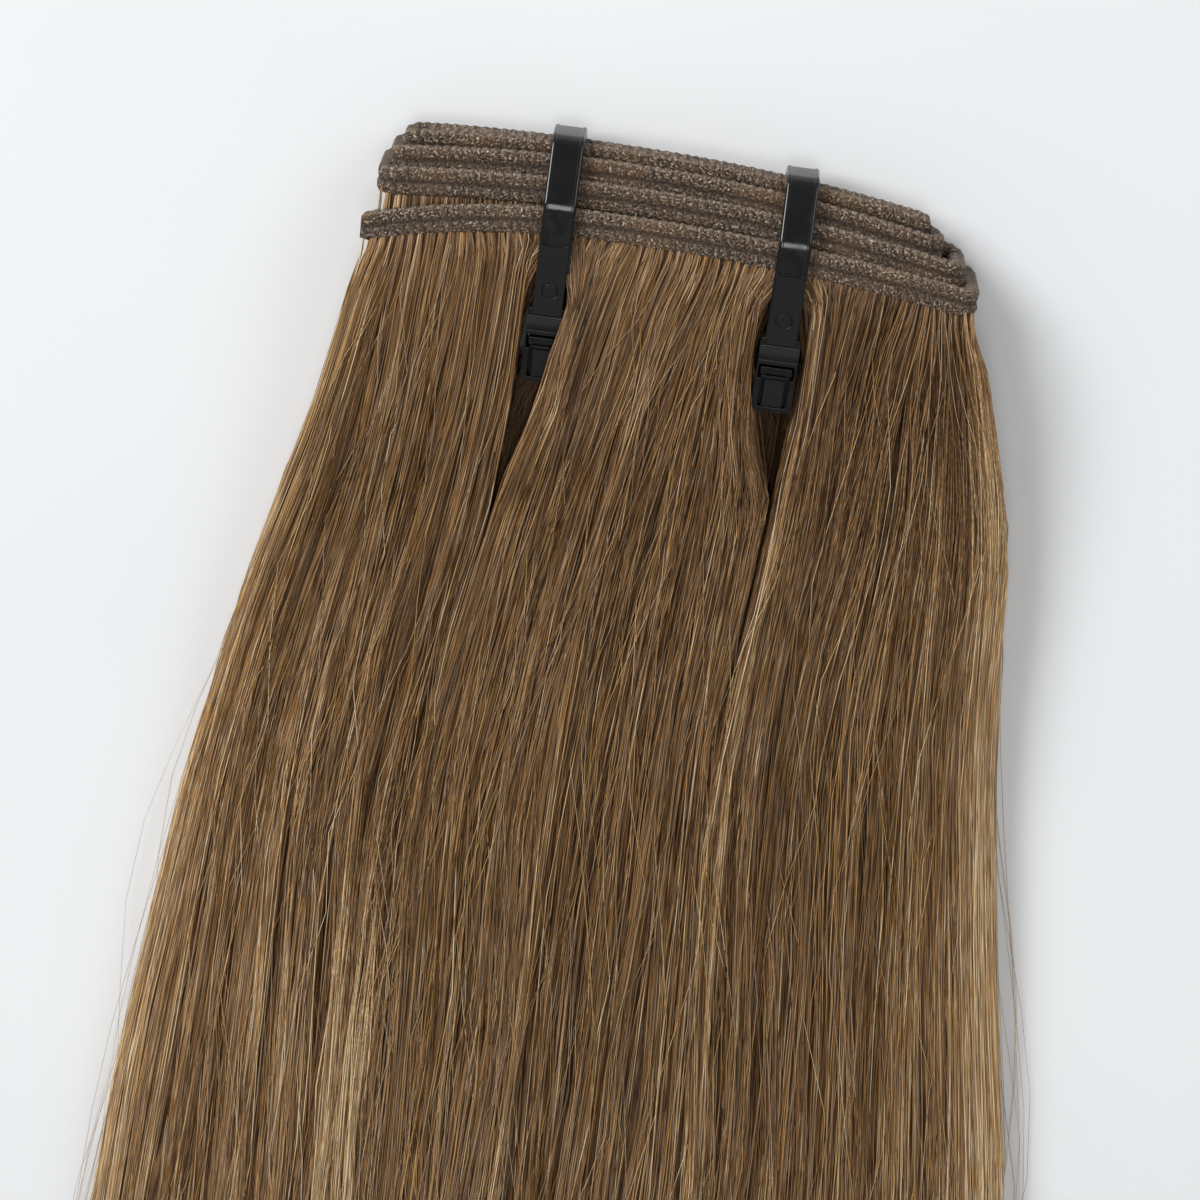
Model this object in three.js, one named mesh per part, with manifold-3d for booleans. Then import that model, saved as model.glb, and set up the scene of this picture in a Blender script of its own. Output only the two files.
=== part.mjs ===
// A weft hair extension, lying face up: one thin weft rolled flat, a curtain of hair on every pass of the
// roll, and two plastic tie straps that hold the roll and pass through the hair.
// Millimetres. X runs along the weft, Y from the hair's tips to the weft, Z up from the surface below.

import * as THREE from "three";
import { mergeVertices } from "three/addons/utils/BufferGeometryUtils.js";
import Module from "manifold-3d";

const wasm = await Module();
wasm.setup();

// Driving dimensions

const GAP = 0.3;
const HAIR_LENGTH = 457;

const BAND = { height: 4.4, bead: 1.1, web: 0.76, beadAt: 1.65, webTo: 0.8, edge: 0.7 };
const PASS_PITCH = 1.78;
const LOWEST_PASS = 2.3;
const TURN_RADIUS = 2.4;
const RUN_PIECES = 6;
const CORNER_PIECES = 3;
const INNER_END = -36;
const ARCH_TOP = -12;

// Each turn of the flat roll, the outermost first: its two ends, how far its front pass stands up the stair
// at the top of the arch, and how far that pass drops towards each end.
const TURNS = [
  { left: -46.0, right: 46.2, rise: 0.0, dropLeft: 4.7, dropRight: 4.9 },
  { left: -44.6, right: 43.8, rise: 3.9, dropLeft: 1.8, dropRight: 5.6 },
  { left: -43.1, right: 40.1, rise: 6.9, dropLeft: 2.0, dropRight: 5.6 },
  { left: -41.3, right: 37.7, rise: 8.4, dropLeft: 1.2, dropRight: 4.6 },
];

// The pile of hair at each distance below the weft: its reach to both sides, its height, the height's share
// at the edges, and how far its underside is off the surface.
const HAIR_SECTIONS = [
  { down: 0, left: 46.0, right: 46.5, height: 15.65, edge: 1.0, under: 1.41 },
  { down: 10, left: 46.8, right: 48.2, height: 15.65, edge: 0.98, under: 1.41 },
  { down: 22, left: 49.0, right: 51.6, height: 15.8, edge: 0.88, under: 1.41 },
  { down: 45, left: 54.2, right: 58.4, height: 16.8, edge: 0.62, under: 0.3 },
  { down: 70, left: 61.2, right: 61.4, height: 17.6, edge: 0.46, under: 0.0 },
  { down: 100, left: 67.4, right: 66.2, height: 17.6, edge: 0.38, under: 0.0 },
  { down: 135, left: 73.5, right: 73.0, height: 16.8, edge: 0.36, under: 0.0 },
  { down: 175, left: 79.4, right: 81.0, height: 15.4, edge: 0.36, under: 0.0 },
  { down: 250, left: 86.0, right: 87.4, height: 13.2, edge: 0.42, under: 0.0 },
  { down: 340, left: 87.6, right: 88.4, height: 11.0, edge: 0.52, under: 0.0 },
  { down: 415, left: 84.6, right: 85.0, height: 9.0, edge: 0.64, under: 0.0 },
  { down: 470, left: 79.0, right: 79.2, height: 7.6, edge: 0.76, under: 0.0 },
];

// Where hair that ends up at a place across the pile starts along the weft, both from -1 to 1: most of it
// leans to the left, and the hair of the right end fans out.
const LEAN = [
  { place: -1, root: -1 },
  { place: -0.75, root: -0.84 },
  { place: -0.5, root: -0.5 },
  { place: -0.3, root: -0.11 },
  { place: -0.1, root: 0.12 },
  { place: 0.1, root: 0.27 },
  { place: 0.35, root: 0.6 },
  { place: 0.5, root: 0.84 },
  { place: 0.8, root: 0.94 },
  { place: 1, root: 1 },
];
const LEAN_OVER = 105;
const ROOT_INSET = 0.8;
const SPREAD_OVER = 46;
const CROWN_POWER = 2.3;
const ROW_POWER = 1.5;

// Locks of the top curtain, and of the curtains under it.
const TOP_LOCKS = { count: 11, steps: 3, rows: 13, groove: 0.95, notch: 26, stagger: 24 };
const UNDER_LOCKS = { count: 6, steps: 2, rows: 13, groove: 0.55, notch: 22, stagger: 28 };
const LOCK_UNEVEN = 0.5;
const GROOVE_MOST = 0.45;
const GROOVE_FROM = 6;
const GROOVE_FULL = 60;

const STRAP = { width: 4.8, thick: 1.2, bevel: 0.28, sunk: 1.0 };
const BENDS = { kink: 3.0, top: 1.6, back: 2.5, heel: 2.2, stepAngle: 0.4 };
const HEAD = { width: 6.0, top: -12.9, end: -24.6, front: 17.2, depth: 5.2, corner: 0.7, bevel: 0.35 };
const NECK = { width: 4.2, top: -3.2, front: 17.45, mark: 2.6, markDeep: 0.25, markAt: -10.1 };
const BAR = { radius: 1.6, at: -15.5, height: 16.1 };
const SLOT = { width: 5.4, long: 2.2, at: -18.3 };
const WINDOW = { width: 4.3, top: -19.2, end: -23.9, deep: 1.5 };
const PAWL = { width: 3.1, top: -19.8, deep: 0.6 };
const TAIL_END = 16.9;
const PARTING = { top: -4.5, topHalf: 2.9, half: 3.6, from: -11.5, to: -25.6 };

// Where each tie sits along the weft, and where the hair closes again below it.
const TIES = [
  { name: "left_tie", x: -17.0, closeX: -22.2, closeY: -46 },
  { name: "right_tie", x: 17.9, closeX: 20.2, closeY: -41 },
];

const COLOURS = { hair: 0x79583a, under: 0x5c4029, weft: 0x665850, tie: 0x0b0b0c };

// Tables and small helpers

const mix = (a, b, t) => a + (b - a) * t;
const eased = (t) => THREE.MathUtils.smoothstep(t, 0, 1);

// A repeatable number from 0 to 1 for a lock's place and length.
function chance(...keys) {
  const value = Math.sin(keys.reduce((sum, key, i) => sum + (key + 1) * (12.9 + 65.3 * i), 0)) * 43758.5;
  return value - Math.floor(value);
}

// A named column of a table at a value of its key column, on a smooth curve through the rows.
function tableAt(rows, key, name, value) {
  const at = Math.min(Math.max(value, rows[0][key]), rows.at(-1)[key]);
  const i = Math.max(rows.findIndex((row) => row[key] >= at) - 1, 0);
  const slope = (k) => {
    const a = rows[Math.max(k - 1, 0)];
    const b = rows[Math.min(k + 1, rows.length - 1)];
    return (b[name] - a[name]) / (b[key] - a[key]);
  };
  const step = rows[i + 1][key] - rows[i][key];
  const t = (at - rows[i][key]) / step;
  const bend = (1 - t) * slope(i) * t * (1 - t) - t * slope(i + 1) * t * (1 - t);
  return mix(rows[i][name], rows[i + 1][name], t * t * (3 - 2 * t)) + bend * step;
}

const hairAt = (name, down) => tableAt(HAIR_SECTIONS, "down", name, down);

// A closed geometry from rings of points, each end closed by a fan.
function loft(rings) {
  const sides = rings[0].length;
  const points = rings.flat();
  const faces = [];
  for (let k = 0; k + 1 < rings.length; k++) {
    for (let i = 0; i < sides; i++) {
      const a = k * sides + i;
      const b = k * sides + ((i + 1) % sides);
      faces.push(a, b + sides, b, a, a + sides, b + sides);
    }
  }
  const close = (ring, first, inOrder) => {
    const middle = points.length;
    points.push(ring.reduce((sum, p) => sum.add(p), new THREE.Vector3()).divideScalar(sides));
    for (let i = 0; i < sides; i++) {
      const pair = [first + i, first + ((i + 1) % sides)];
      faces.push(middle, ...(inOrder ? pair : pair.reverse()));
    }
  };
  close(rings[0], 0, true);
  close(rings.at(-1), (rings.length - 1) * sides, false);
  return new THREE.BufferGeometry().setFromPoints(points).setIndex(faces);
}

// A closed geometry between two grids of points, columns to the right and rows towards the tips.
function slab(columns, rows, upper, lower) {
  const points = [];
  const faces = [];
  for (const surface of [upper, lower]) {
    for (let c = 0; c < columns; c++) {
      for (let r = 0; r < rows; r++) points.push(surface(c, r));
    }
  }
  const top = (c, r) => c * rows + r;
  const bottom = (c, r) => columns * rows + top(c, r);
  const quad = (a, b, c, d) => faces.push(a, b, c, a, c, d);
  for (let c = 0; c + 1 < columns; c++) {
    for (let r = 0; r + 1 < rows; r++) {
      quad(top(c, r), top(c, r + 1), top(c + 1, r + 1), top(c + 1, r));
      quad(bottom(c, r), bottom(c + 1, r), bottom(c + 1, r + 1), bottom(c, r + 1));
    }
    quad(top(c, 0), top(c + 1, 0), bottom(c + 1, 0), bottom(c, 0));
    quad(top(c, rows - 1), bottom(c, rows - 1), bottom(c + 1, rows - 1), top(c + 1, rows - 1));
  }
  for (let r = 0; r + 1 < rows; r++) {
    const last = columns - 1;
    quad(top(0, r), bottom(0, r), bottom(0, r + 1), top(0, r + 1));
    quad(top(last, r), top(last, r + 1), bottom(last, r + 1), bottom(last, r));
  }
  return new THREE.BufferGeometry().setFromPoints(points).setIndex(faces);
}

// A geometry as a solid that can be joined and cut, and back.
function solid(geometry) {
  const bare = geometry.clone();
  bare.deleteAttribute("normal");
  bare.deleteAttribute("uv");
  const merged = mergeVertices(bare, 1e-4);
  return new wasm.Manifold(
    new wasm.Mesh({
      numProp: 3,
      vertProperties: merged.attributes.position.array,
      triVerts: new Uint32Array(merged.index.array),
    }),
  );
}

function geometryOf(made) {
  const mesh = made.getMesh();
  return new THREE.BufferGeometry()
    .setAttribute("position", new THREE.BufferAttribute(mesh.vertProperties, 3))
    .setIndex(new THREE.BufferAttribute(mesh.triVerts, 1));
}

function block(width, long, high, x, y, z) {
  return solid(new THREE.BoxGeometry(width, long, high).translate(x, y, z));
}

// The weft

// Height of the front pass of a turn above the lowest part of the stair, at a place along the weft.
function frontRise(turn, x) {
  const left = x < ARCH_TOP;
  const reach = (left ? turn.left : turn.right) - ARCH_TOP;
  const drop = left ? turn.dropLeft : turn.dropRight;
  return turn.rise - drop * ((x - ARCH_TOP) / reach) ** 2;
}

// A back pass climbs from its own front pass at the right end to the next turn's at the left end.
function backRise(index, x) {
  const turn = TURNS[index];
  const next = TURNS[Math.min(index + 1, TURNS.length - 1)];
  const along = (turn.right - x) / (turn.right - next.left);
  return mix(frontRise(turn, x), frontRise(next, x), eased(along));
}

// The passes from the surface up: back passes from the outermost in, then front ones from the innermost out.
const passHeight = (level) => LOWEST_PASS + level * PASS_PITCH;
const backPasses = TURNS.map((turn, i) => ({
  left: TURNS[i + 1]?.left ?? INNER_END,
  right: turn.right,
  height: passHeight(i),
  rise: (x) => backRise(i, x),
}));
const frontPasses = TURNS.map((turn, i) => ({
  left: turn.left,
  right: turn.right,
  height: passHeight(2 * TURNS.length - 1 - i),
  rise: (x) => frontRise(turn, x),
}));
const PASSES = [...backPasses, ...frontPasses.toReversed()];

function weftBand() {
  const half = BAND.bead / 2;
  const path = [];
  const run = (pass, from, to, angle) => {
    for (let i = 0; i <= RUN_PIECES; i++) {
      const x = mix(from, to, i / RUN_PIECES);
      path.push({ x, y: pass.rise(x), z: pass.height, angle });
    }
  };
  const corner = (x, z, radius, pass, start) => {
    for (let i = 1; i <= CORNER_PIECES; i++) {
      const angle = start - (Math.PI / 2) * (i / CORNER_PIECES);
      const at = { x: x - radius * Math.sin(angle), z: z + radius * Math.cos(angle) };
      path.push({ ...at, y: pass.rise(at.x), angle });
    }
  };
  const radiusOf = (a, b) => Math.min(TURN_RADIUS, Math.abs(a.height - b.height) / 2 - 0.001);
  let from = frontPasses[0].left;
  TURNS.forEach((turn, i) => {
    const front = frontPasses[i];
    const back = backPasses[i];
    const next = frontPasses[i + 1];
    const r = radiusOf(front, back);
    const right = turn.right - half - r;
    run(front, from, right, 0);
    corner(right, front.height - r, r, front, 0);
    corner(right, back.height + r, r, back, -Math.PI / 2);
    path.pop();
    if (!next) {
      run(back, right, INNER_END, -Math.PI);
      return;
    }
    const l = radiusOf(next, back);
    const left = next.left + half + l;
    run(back, right, left, -Math.PI);
    corner(left, back.height + l, l, back, -Math.PI);
    corner(left, next.height - l, l, next, -Math.PI * 1.5);
    path.pop();
    from = left;
  });
  const side = [
    [-BAND.height / 2, BAND.edge / 2],
    [-BAND.beadAt, BAND.bead / 2],
    [-BAND.webTo, BAND.web / 2],
    [BAND.webTo, BAND.web / 2],
    [BAND.beadAt, BAND.bead / 2],
    [BAND.height / 2, BAND.edge / 2],
  ];
  const profile = [...side, ...side.map(([up, out]) => [up, -out]).reverse()];
  const ring = ({ x, y, z, angle }) =>
    profile.map(
      ([up, out]) => new THREE.Vector3(x - out * Math.sin(angle), y + up, z + out * Math.cos(angle)),
    );
  return loft(path.map(ring));
}

// The hair

// Columns across a curtain: place from -1 to 1, whether it is a groove between locks, and how far its tip
// stops short.
function lockColumns(level, locks) {
  const edge = (lock) => {
    const inner = lock > 0 && lock < locks.count;
    const shift = inner ? LOCK_UNEVEN * (chance(level, lock) - 0.5) : 0;
    return -1 + (2 * (lock + shift)) / locks.count;
  };
  const columns = [];
  for (let lock = 0; lock < locks.count; lock++) {
    for (let step = 0; step < locks.steps; step++) {
      const crown = step > 0;
      const owner = crown ? lock : Math.max(lock - 1, 0);
      columns.push({
        across: mix(edge(lock), edge(lock + 1), step / locks.steps),
        groove: crown ? 0 : 1,
        short: locks.stagger * chance(level, owner, 7) + (crown ? 0 : locks.notch),
      });
    }
  }
  return [...columns, { ...columns[0], across: 1 }];
}

function hairCurtain(level) {
  const pass = PASSES[level];
  const locks = level === PASSES.length - 1 ? TOP_LOCKS : UNDER_LOCKS;
  const columns = lockColumns(level, locks);
  const place = (c, r) => {
    const { across, short } = columns[c];
    const root = tableAt(LEAN, "place", "root", across);
    const rootX = mix(pass.left + ROOT_INSET, pass.right - ROOT_INSET, (root + 1) / 2);
    const rootY = pass.rise(rootX) - BAND.height / 2 - GAP;
    const y = mix(rootY, short - HAIR_LENGTH, (r / (locks.rows - 1)) ** ROW_POWER);
    const down = Math.max(-y, 0);
    const leant = 1 - (1 - Math.min(down / LEAN_OVER, 1)) ** 2;
    const now = mix(root, across, leant);
    const pileX = hairAt(now < 0 ? "left" : "right", down) * now;
    const x = mix(rootX, pileX, eased(Math.min((rootY - y) / SPREAD_OVER, 1)));
    const out = Math.min(Math.abs(x) / hairAt(x < 0 ? "left" : "right", down), 1);
    const under = Math.max(hairAt("under", down), 0);
    const pile = hairAt("height", down) * mix(1, hairAt("edge", down), out ** CROWN_POWER) - under;
    return { x, y, down, under, layer: pile / PASSES.length };
  };
  const upper = (c, r) => {
    const { x, y, down, under, layer } = place(c, r);
    const opened = eased((down - GROOVE_FROM) / (GROOVE_FULL - GROOVE_FROM));
    const groove = columns[c].groove * opened * Math.min(locks.groove, GROOVE_MOST * (layer - GAP));
    return new THREE.Vector3(x, y, under + layer * (level + 1) - GAP / 2 - groove);
  };
  const lower = (c, r) => {
    const { x, y, under, layer } = place(c, r);
    return new THREE.Vector3(x, y, under + layer * level + (level > 0 ? GAP / 2 : 0));
  };
  const uncut = solid(slab(columns.length, locks.rows, upper, lower));
  return geometryOf(TIES.reduce((left, tie) => left.subtract(parting(tie)), uncut));
}

// The opening that a tie makes through all the hair, from under the weft to where the hair closes again.
function parting({ x, closeX, closeY }) {
  const outline = new THREE.Shape();
  outline.moveTo(x - PARTING.topHalf, PARTING.top);
  outline.lineTo(x - PARTING.half, PARTING.from);
  outline.lineTo(x - PARTING.half, PARTING.to);
  outline.quadraticCurveTo(x - PARTING.half, mix(PARTING.to, closeY, 0.5), closeX, closeY);
  outline.quadraticCurveTo(x + PARTING.half, mix(PARTING.to, closeY, 0.5), x + PARTING.half, PARTING.to);
  outline.lineTo(x + PARTING.half, PARTING.from);
  outline.lineTo(x + PARTING.topHalf, PARTING.top);
  const depth = HAIR_SECTIONS[0].height * 2;
  const through = new THREE.ExtrudeGeometry(outline, { depth, bevelEnabled: false, curveSegments: 3 });
  return solid(through.translate(0, 0, -GAP));
}

// The ties

// A path of straight runs and round corners, with the heading at each point.
function roundedPath(corners) {
  const path = [];
  corners.forEach(({ y, z, radius }, i) => {
    const here = new THREE.Vector2(y, z);
    const towards = (k) => new THREE.Vector2(corners[k].y, corners[k].z).sub(here).normalize();
    if (!radius) {
      const heading = i === 0 ? towards(1) : towards(i - 1).negate();
      path.push({ y, z, angle: heading.angle() });
      return;
    }
    const before = towards(i - 1).negate();
    const after = towards(i + 1);
    const turn = Math.atan2(before.cross(after), before.dot(after));
    const start = here.clone().addScaledVector(before, -radius * Math.tan(Math.abs(turn) / 2));
    const inward = new THREE.Vector2(-before.y, before.x).multiplyScalar(Math.sign(turn) * radius);
    const centre = start.clone().add(inward);
    const pieces = Math.max(2, Math.round(Math.abs(turn) / BENDS.stepAngle));
    for (let k = 0; k <= pieces; k++) {
      const at = start.clone().rotateAround(centre, (turn * k) / pieces);
      path.push({ y: at.x, z: at.y, angle: before.angle() + (turn * k) / pieces });
    }
  });
  return path;
}

function tie({ x }) {
  const clear = GAP + STRAP.thick / 2;
  const front = HAIR_SECTIONS[0].height - GAP / 2 + clear;
  const bottom = STRAP.thick / 2;
  const edgeOf = (pass) => pass.rise(x) + BAND.height / 2;
  const outer = frontPasses[0];
  const inner = frontPasses.at(-1);
  const third = frontPasses.at(-2);
  const shoulder = Math.atan2(outer.height - third.height, edgeOf(third) - edgeOf(outer));
  const lift = (clear + GAP + BAND.bead / 2) / Math.cos(shoulder);
  const topY = Math.max(edgeOf(inner), edgeOf(third)) + clear;
  const kinkY = edgeOf(outer) + (outer.height + lift - front) / Math.tan(shoulder);
  const corners = [
    { y: HEAD.top - STRAP.sunk, z: front },
    { y: kinkY, z: front, radius: BENDS.kink },
    { y: topY, z: front - (topY - kinkY) * Math.tan(shoulder), radius: BENDS.top },
    { y: topY, z: backPasses.at(-2).height, radius: BENDS.back },
    { y: edgeOf(backPasses[1]), z: bottom, radius: BENDS.back },
    { y: SLOT.at, z: bottom, radius: BENDS.heel },
    { y: SLOT.at, z: TAIL_END },
  ];
  const w = STRAP.width / 2;
  const t = STRAP.thick / 2;
  const b = STRAP.bevel;
  const quarter = [[w, t - b], [w - b, t]];
  const half = [...quarter, ...quarter.map(([across, out]) => [-across, out]).reverse()];
  const section = [...half, ...half.map(([across, out]) => [-across, -out])];
  const ring = ({ y, z, angle }) =>
    section.map(
      ([across, out]) => new THREE.Vector3(x + across, y - out * Math.sin(angle), z + out * Math.cos(angle)),
    );
  const strap = solid(loft(roundedPath(corners).map(ring)));
  return geometryOf(tieHead(x, front - STRAP.thick / 2).add(strap));
}

function tieHead(x, neckBack) {
  const half = HEAD.width / 2 - HEAD.bevel;
  const low = HEAD.end + HEAD.bevel;
  const high = HEAD.top - HEAD.bevel;
  const r = HEAD.corner;
  const outline = new THREE.Shape();
  outline.moveTo(-half + r, low);
  outline.lineTo(half - r, low);
  outline.quadraticCurveTo(half, low, half, low + r);
  outline.lineTo(half, high);
  outline.lineTo(-half, high);
  outline.lineTo(-half, low + r);
  outline.quadraticCurveTo(-half, low, -half + r, low);
  const options = { bevelSize: HEAD.bevel, bevelThickness: HEAD.bevel, bevelSegments: 1, curveSegments: 2 };
  const depth = HEAD.depth - 2 * HEAD.bevel;
  const body = new THREE.ExtrudeGeometry(outline, { ...options, depth });
  body.translate(x, 0, HEAD.front - HEAD.depth + HEAD.bevel);
  const neckLong = NECK.top - HEAD.top + STRAP.sunk;
  const neckHigh = NECK.front - neckBack;
  const neck = block(NECK.width, neckLong, neckHigh, x, NECK.top - neckLong / 2, NECK.front - neckHigh / 2);
  const mark = new THREE.CylinderGeometry(NECK.mark / 2, NECK.mark / 2, 2 * NECK.markDeep, 16);
  mark.rotateX(Math.PI / 2).translate(x, NECK.markAt, NECK.front);
  const bar = new THREE.CylinderGeometry(BAR.radius, BAR.radius, HEAD.width, 12);
  bar.rotateZ(Math.PI / 2).translate(x, BAR.at, BAR.height);
  const windowLong = WINDOW.top - WINDOW.end;
  const windowY = (WINDOW.top + WINDOW.end) / 2;
  const pawlLong = PAWL.top - WINDOW.end + HEAD.bevel;
  const pawlHigh = HEAD.depth / 2;
  const pawlZ = HEAD.front - PAWL.deep - pawlHigh / 2;
  return solid(body)
    .add(neck)
    .subtract(solid(mark))
    .add(solid(bar))
    .subtract(block(WINDOW.width, windowLong, 2 * WINDOW.deep, x, windowY, HEAD.front))
    .add(block(PAWL.width, pawlLong, pawlHigh, x, PAWL.top - pawlLong / 2, pawlZ))
    .subtract(block(SLOT.width, SLOT.long, 4 * HEAD.depth, x, SLOT.at, HEAD.front));
}

// The assembly

const part = new THREE.Group();

function piece(name, geometry, color, roughness) {
  const mesh = new THREE.Mesh(geometry, new THREE.MeshStandardMaterial({ color, roughness, metalness: 0 }));
  mesh.name = name;
  part.add(mesh);
}

piece("weft_band", weftBand(), COLOURS.weft, 0.8);
PASSES.forEach((pass, level) => {
  const color = level === PASSES.length - 1 ? COLOURS.hair : COLOURS.under;
  piece(`hair_layer_${level + 1}`, hairCurtain(level), color, 0.45);
});
TIES.forEach((row) => piece(row.name, tie(row), COLOURS.tie, 0.25));

// The origin is the middle of the whole thing's outline, on the surface that it lies on.
const box = new THREE.Box3().setFromObject(part);
const middle = box.getCenter(new THREE.Vector3());
part.children.forEach((mesh) => mesh.position.set(-middle.x, -middle.y, -box.min.z));

export default part;
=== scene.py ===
# Looks of a weft hair extension that lies face up: strands of hair over darker beds, a stitched weft rolled
# flat, and two moulded tie straps. Sizes are millimetres, measured from the top of the arch of the weft's
# front pass, with X along the weft, Y from the tips to the weft and Z up from the floor.

import math
from functools import partial
from types import SimpleNamespace as Record

import bmesh
import bpy
import numpy as np
from mathutils import Matrix, Vector


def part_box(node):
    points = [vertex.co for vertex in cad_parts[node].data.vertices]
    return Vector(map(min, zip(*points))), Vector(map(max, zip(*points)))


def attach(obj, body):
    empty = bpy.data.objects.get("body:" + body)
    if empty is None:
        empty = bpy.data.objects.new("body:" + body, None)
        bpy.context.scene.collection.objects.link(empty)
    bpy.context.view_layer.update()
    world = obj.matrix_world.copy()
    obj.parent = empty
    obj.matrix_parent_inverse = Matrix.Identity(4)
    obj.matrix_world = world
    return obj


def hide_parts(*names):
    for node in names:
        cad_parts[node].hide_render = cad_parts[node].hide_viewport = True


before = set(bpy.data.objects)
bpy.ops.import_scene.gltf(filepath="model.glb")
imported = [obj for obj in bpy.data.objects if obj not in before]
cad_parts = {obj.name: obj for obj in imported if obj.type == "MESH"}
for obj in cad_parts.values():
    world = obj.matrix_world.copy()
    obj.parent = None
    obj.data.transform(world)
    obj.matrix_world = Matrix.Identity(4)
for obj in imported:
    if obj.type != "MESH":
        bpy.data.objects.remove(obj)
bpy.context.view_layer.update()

MM = 0.001
TAU = 2.0 * math.pi
SEEDS = Record(weft=5, locks=100, beds=300, strands=500, flyaways=77, loose=78)

# Sizes of the solids

HAIR_LENGTH = 457.0
BAND = Record(height=4.4, bead=1.1)
PASS_PITCH = 1.78
LOWEST_PASS = 2.3
TURN_RADIUS = 2.4
INNER_END = -36.0
ARCH_TOP = -12.0
TURNS = [
    Record(left=-46.0, right=46.2, rise=0.0, drop_left=4.7, drop_right=4.9),
    Record(left=-44.6, right=43.8, rise=3.9, drop_left=1.8, drop_right=5.6),
    Record(left=-43.1, right=40.1, rise=6.9, drop_left=2.0, drop_right=5.6),
    Record(left=-41.3, right=37.7, rise=8.4, drop_left=1.2, drop_right=4.6),
]
LEVELS = 2 * len(TURNS)
TOP = LEVELS - 1

# The pile of hair at each distance below the weft, as in the solids
PILE_DOWN = np.array([0, 10, 22, 45, 70, 100, 135, 175, 250, 340, 415, 470], float)
PILE = {
    "left": [46.0, 46.8, 49.0, 54.2, 61.2, 67.4, 73.5, 79.4, 86.0, 87.6, 84.6, 79.0],
    "right": [46.5, 48.2, 51.6, 58.4, 61.4, 66.2, 73.0, 81.0, 87.4, 88.4, 85.0, 79.2],
    "height": [15.65, 15.65, 15.8, 16.8, 17.6, 17.6, 16.8, 15.4, 13.2, 11.0, 9.0, 7.6],
    "edge": [1.0, 0.98, 0.88, 0.62, 0.46, 0.38, 0.36, 0.36, 0.42, 0.52, 0.64, 0.76],
    "under": [1.41, 1.41, 1.41, 0.3, 0.0, 0.0, 0.0, 0.0, 0.0, 0.0, 0.0, 0.0],
}
# Places across the pile, and where the hair that ends up there starts along the weft, both from -1 to 1
LEAN = [
    (-1.0, -1.0), (-0.98, -0.955), (-0.76, -0.83), (-0.6, -0.655), (-0.5, -0.51), (-0.455, -0.43),
    (-0.435, -0.325), (-0.4, -0.25), (-0.32, -0.135), (-0.185, 0.0), (-0.1, 0.13), (0.09, 0.26),
    (0.25, 0.345), (0.29, 0.44), (0.36, 0.53), (0.41, 0.66), (0.48, 0.79), (0.79, 0.925), (1.0, 1.0),
]
LEAN_PLACE, LEAN_ROOT = np.array(LEAN).T
LEAN_OVER = 105.0
LEAN_POWER = 2.5
ROOT_INSET = 0.8
SPREAD_OVER = 46.0
CROWN_POWER = 2.3

STRAP = Record(width=4.8, thick=1.2, sunk=1.0, rail=0.55, rail_side=0.14, channel=0.1, edge=0.36)
BENDS = Record(kink=3.0, top=1.6, back=2.5, heel=2.2, step=0.12)
STRAP_CLEAR = 0.9
SHOULDER_CLEAR = 1.2
STRAP_FRONT = 16.4
TAIL_END = 16.9
SLOT_AT = -18.3
SLOT_HALF = 1.1
MARK = Record(width=2.6, line=0.28, deep=0.16, at=-10.1, past=1.0)
BAR = Record(radius=1.6, at=-15.5, height=16.1)
# Blocks that make up a tie's head, with the radius of their upright edges
FACE = 17.2
HEAD = Record(width=6.0, end=-24.6, top=-12.9, low=FACE - 5.2, high=FACE, corner=0.9)
NECK = Record(
    width=4.2, end=HEAD.top - STRAP.sunk, top=-3.2, low=STRAP_FRONT - STRAP.thick / 2, high=17.45, corner=0.0
)
WINDOW = Record(width=4.3, end=-23.9, top=-19.2, low=FACE - 1.5, high=FACE + 1.0, corner=0.25)
PAWL = Record(width=3.1, end=WINDOW.end - 0.5, top=-19.8, low=FACE - 2.6, high=FACE - 0.6, corner=0.0)
SLOT = Record(
    width=5.4, end=SLOT_AT - SLOT_HALF, top=SLOT_AT + SLOT_HALF, low=-1.0, high=FACE + 5.0, corner=0.2
)
TIES = [
    Record(name="left_tie", x=-17.0, close_x=-22.0, close_y=-46.0, drift=-0.168, left=3.1, right=2.9),
    Record(name="right_tie", x=17.9, close_x=20.2, close_y=-41.0, drift=-0.05, left=3.1, right=3.3),
]

# The frame's origin, from the left tie's middle and the end of its head
tie_low, tie_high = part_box("left_tie")
ORIGIN = np.array([(tie_low.x + tie_high.x) / 2 - TIES[0].x * MM, tie_low.y - HEAD.end * MM, 0.0])


# Small helpers


def mix(a, b, t):
    return a + (b - a) * t


def smooth(t):
    t = np.clip(t, 0.0, 1.0)
    return t * t * (3.0 - 2.0 * t)


def eased(value, start, stop):
    """A smooth rise from 0 at start to 1 at stop."""
    return smooth((value - start) / (stop - start))


def hair_at(name, down):
    """A column of the pile's table at distances below the weft, on a smooth curve through the rows."""
    rows, values = PILE_DOWN, np.array(PILE[name], float)
    before = np.maximum(np.arange(len(rows)) - 1, 0)
    after = np.minimum(np.arange(len(rows)) + 1, len(rows) - 1)
    slope = (values[after] - values[before]) / (rows[after] - rows[before])
    down = np.clip(down, rows[0], rows[-1])
    i = np.clip(np.searchsorted(rows, down) - 1, 0, len(rows) - 2)
    step = rows[i + 1] - rows[i]
    t = (down - rows[i]) / step
    bend = ((1.0 - t) * slope[i] - t * slope[i + 1]) * t * (1.0 - t) * step
    return mix(values[i], values[i + 1], smooth(t)) + bend


PILE_HALF = float(hair_at("left", LEAN_OVER))


def root_of(across):
    """Where hair at these places across the pile starts along the weft, from -1 to 1."""
    return np.interp(across, LEAN_PLACE, LEAN_ROOT)


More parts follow.
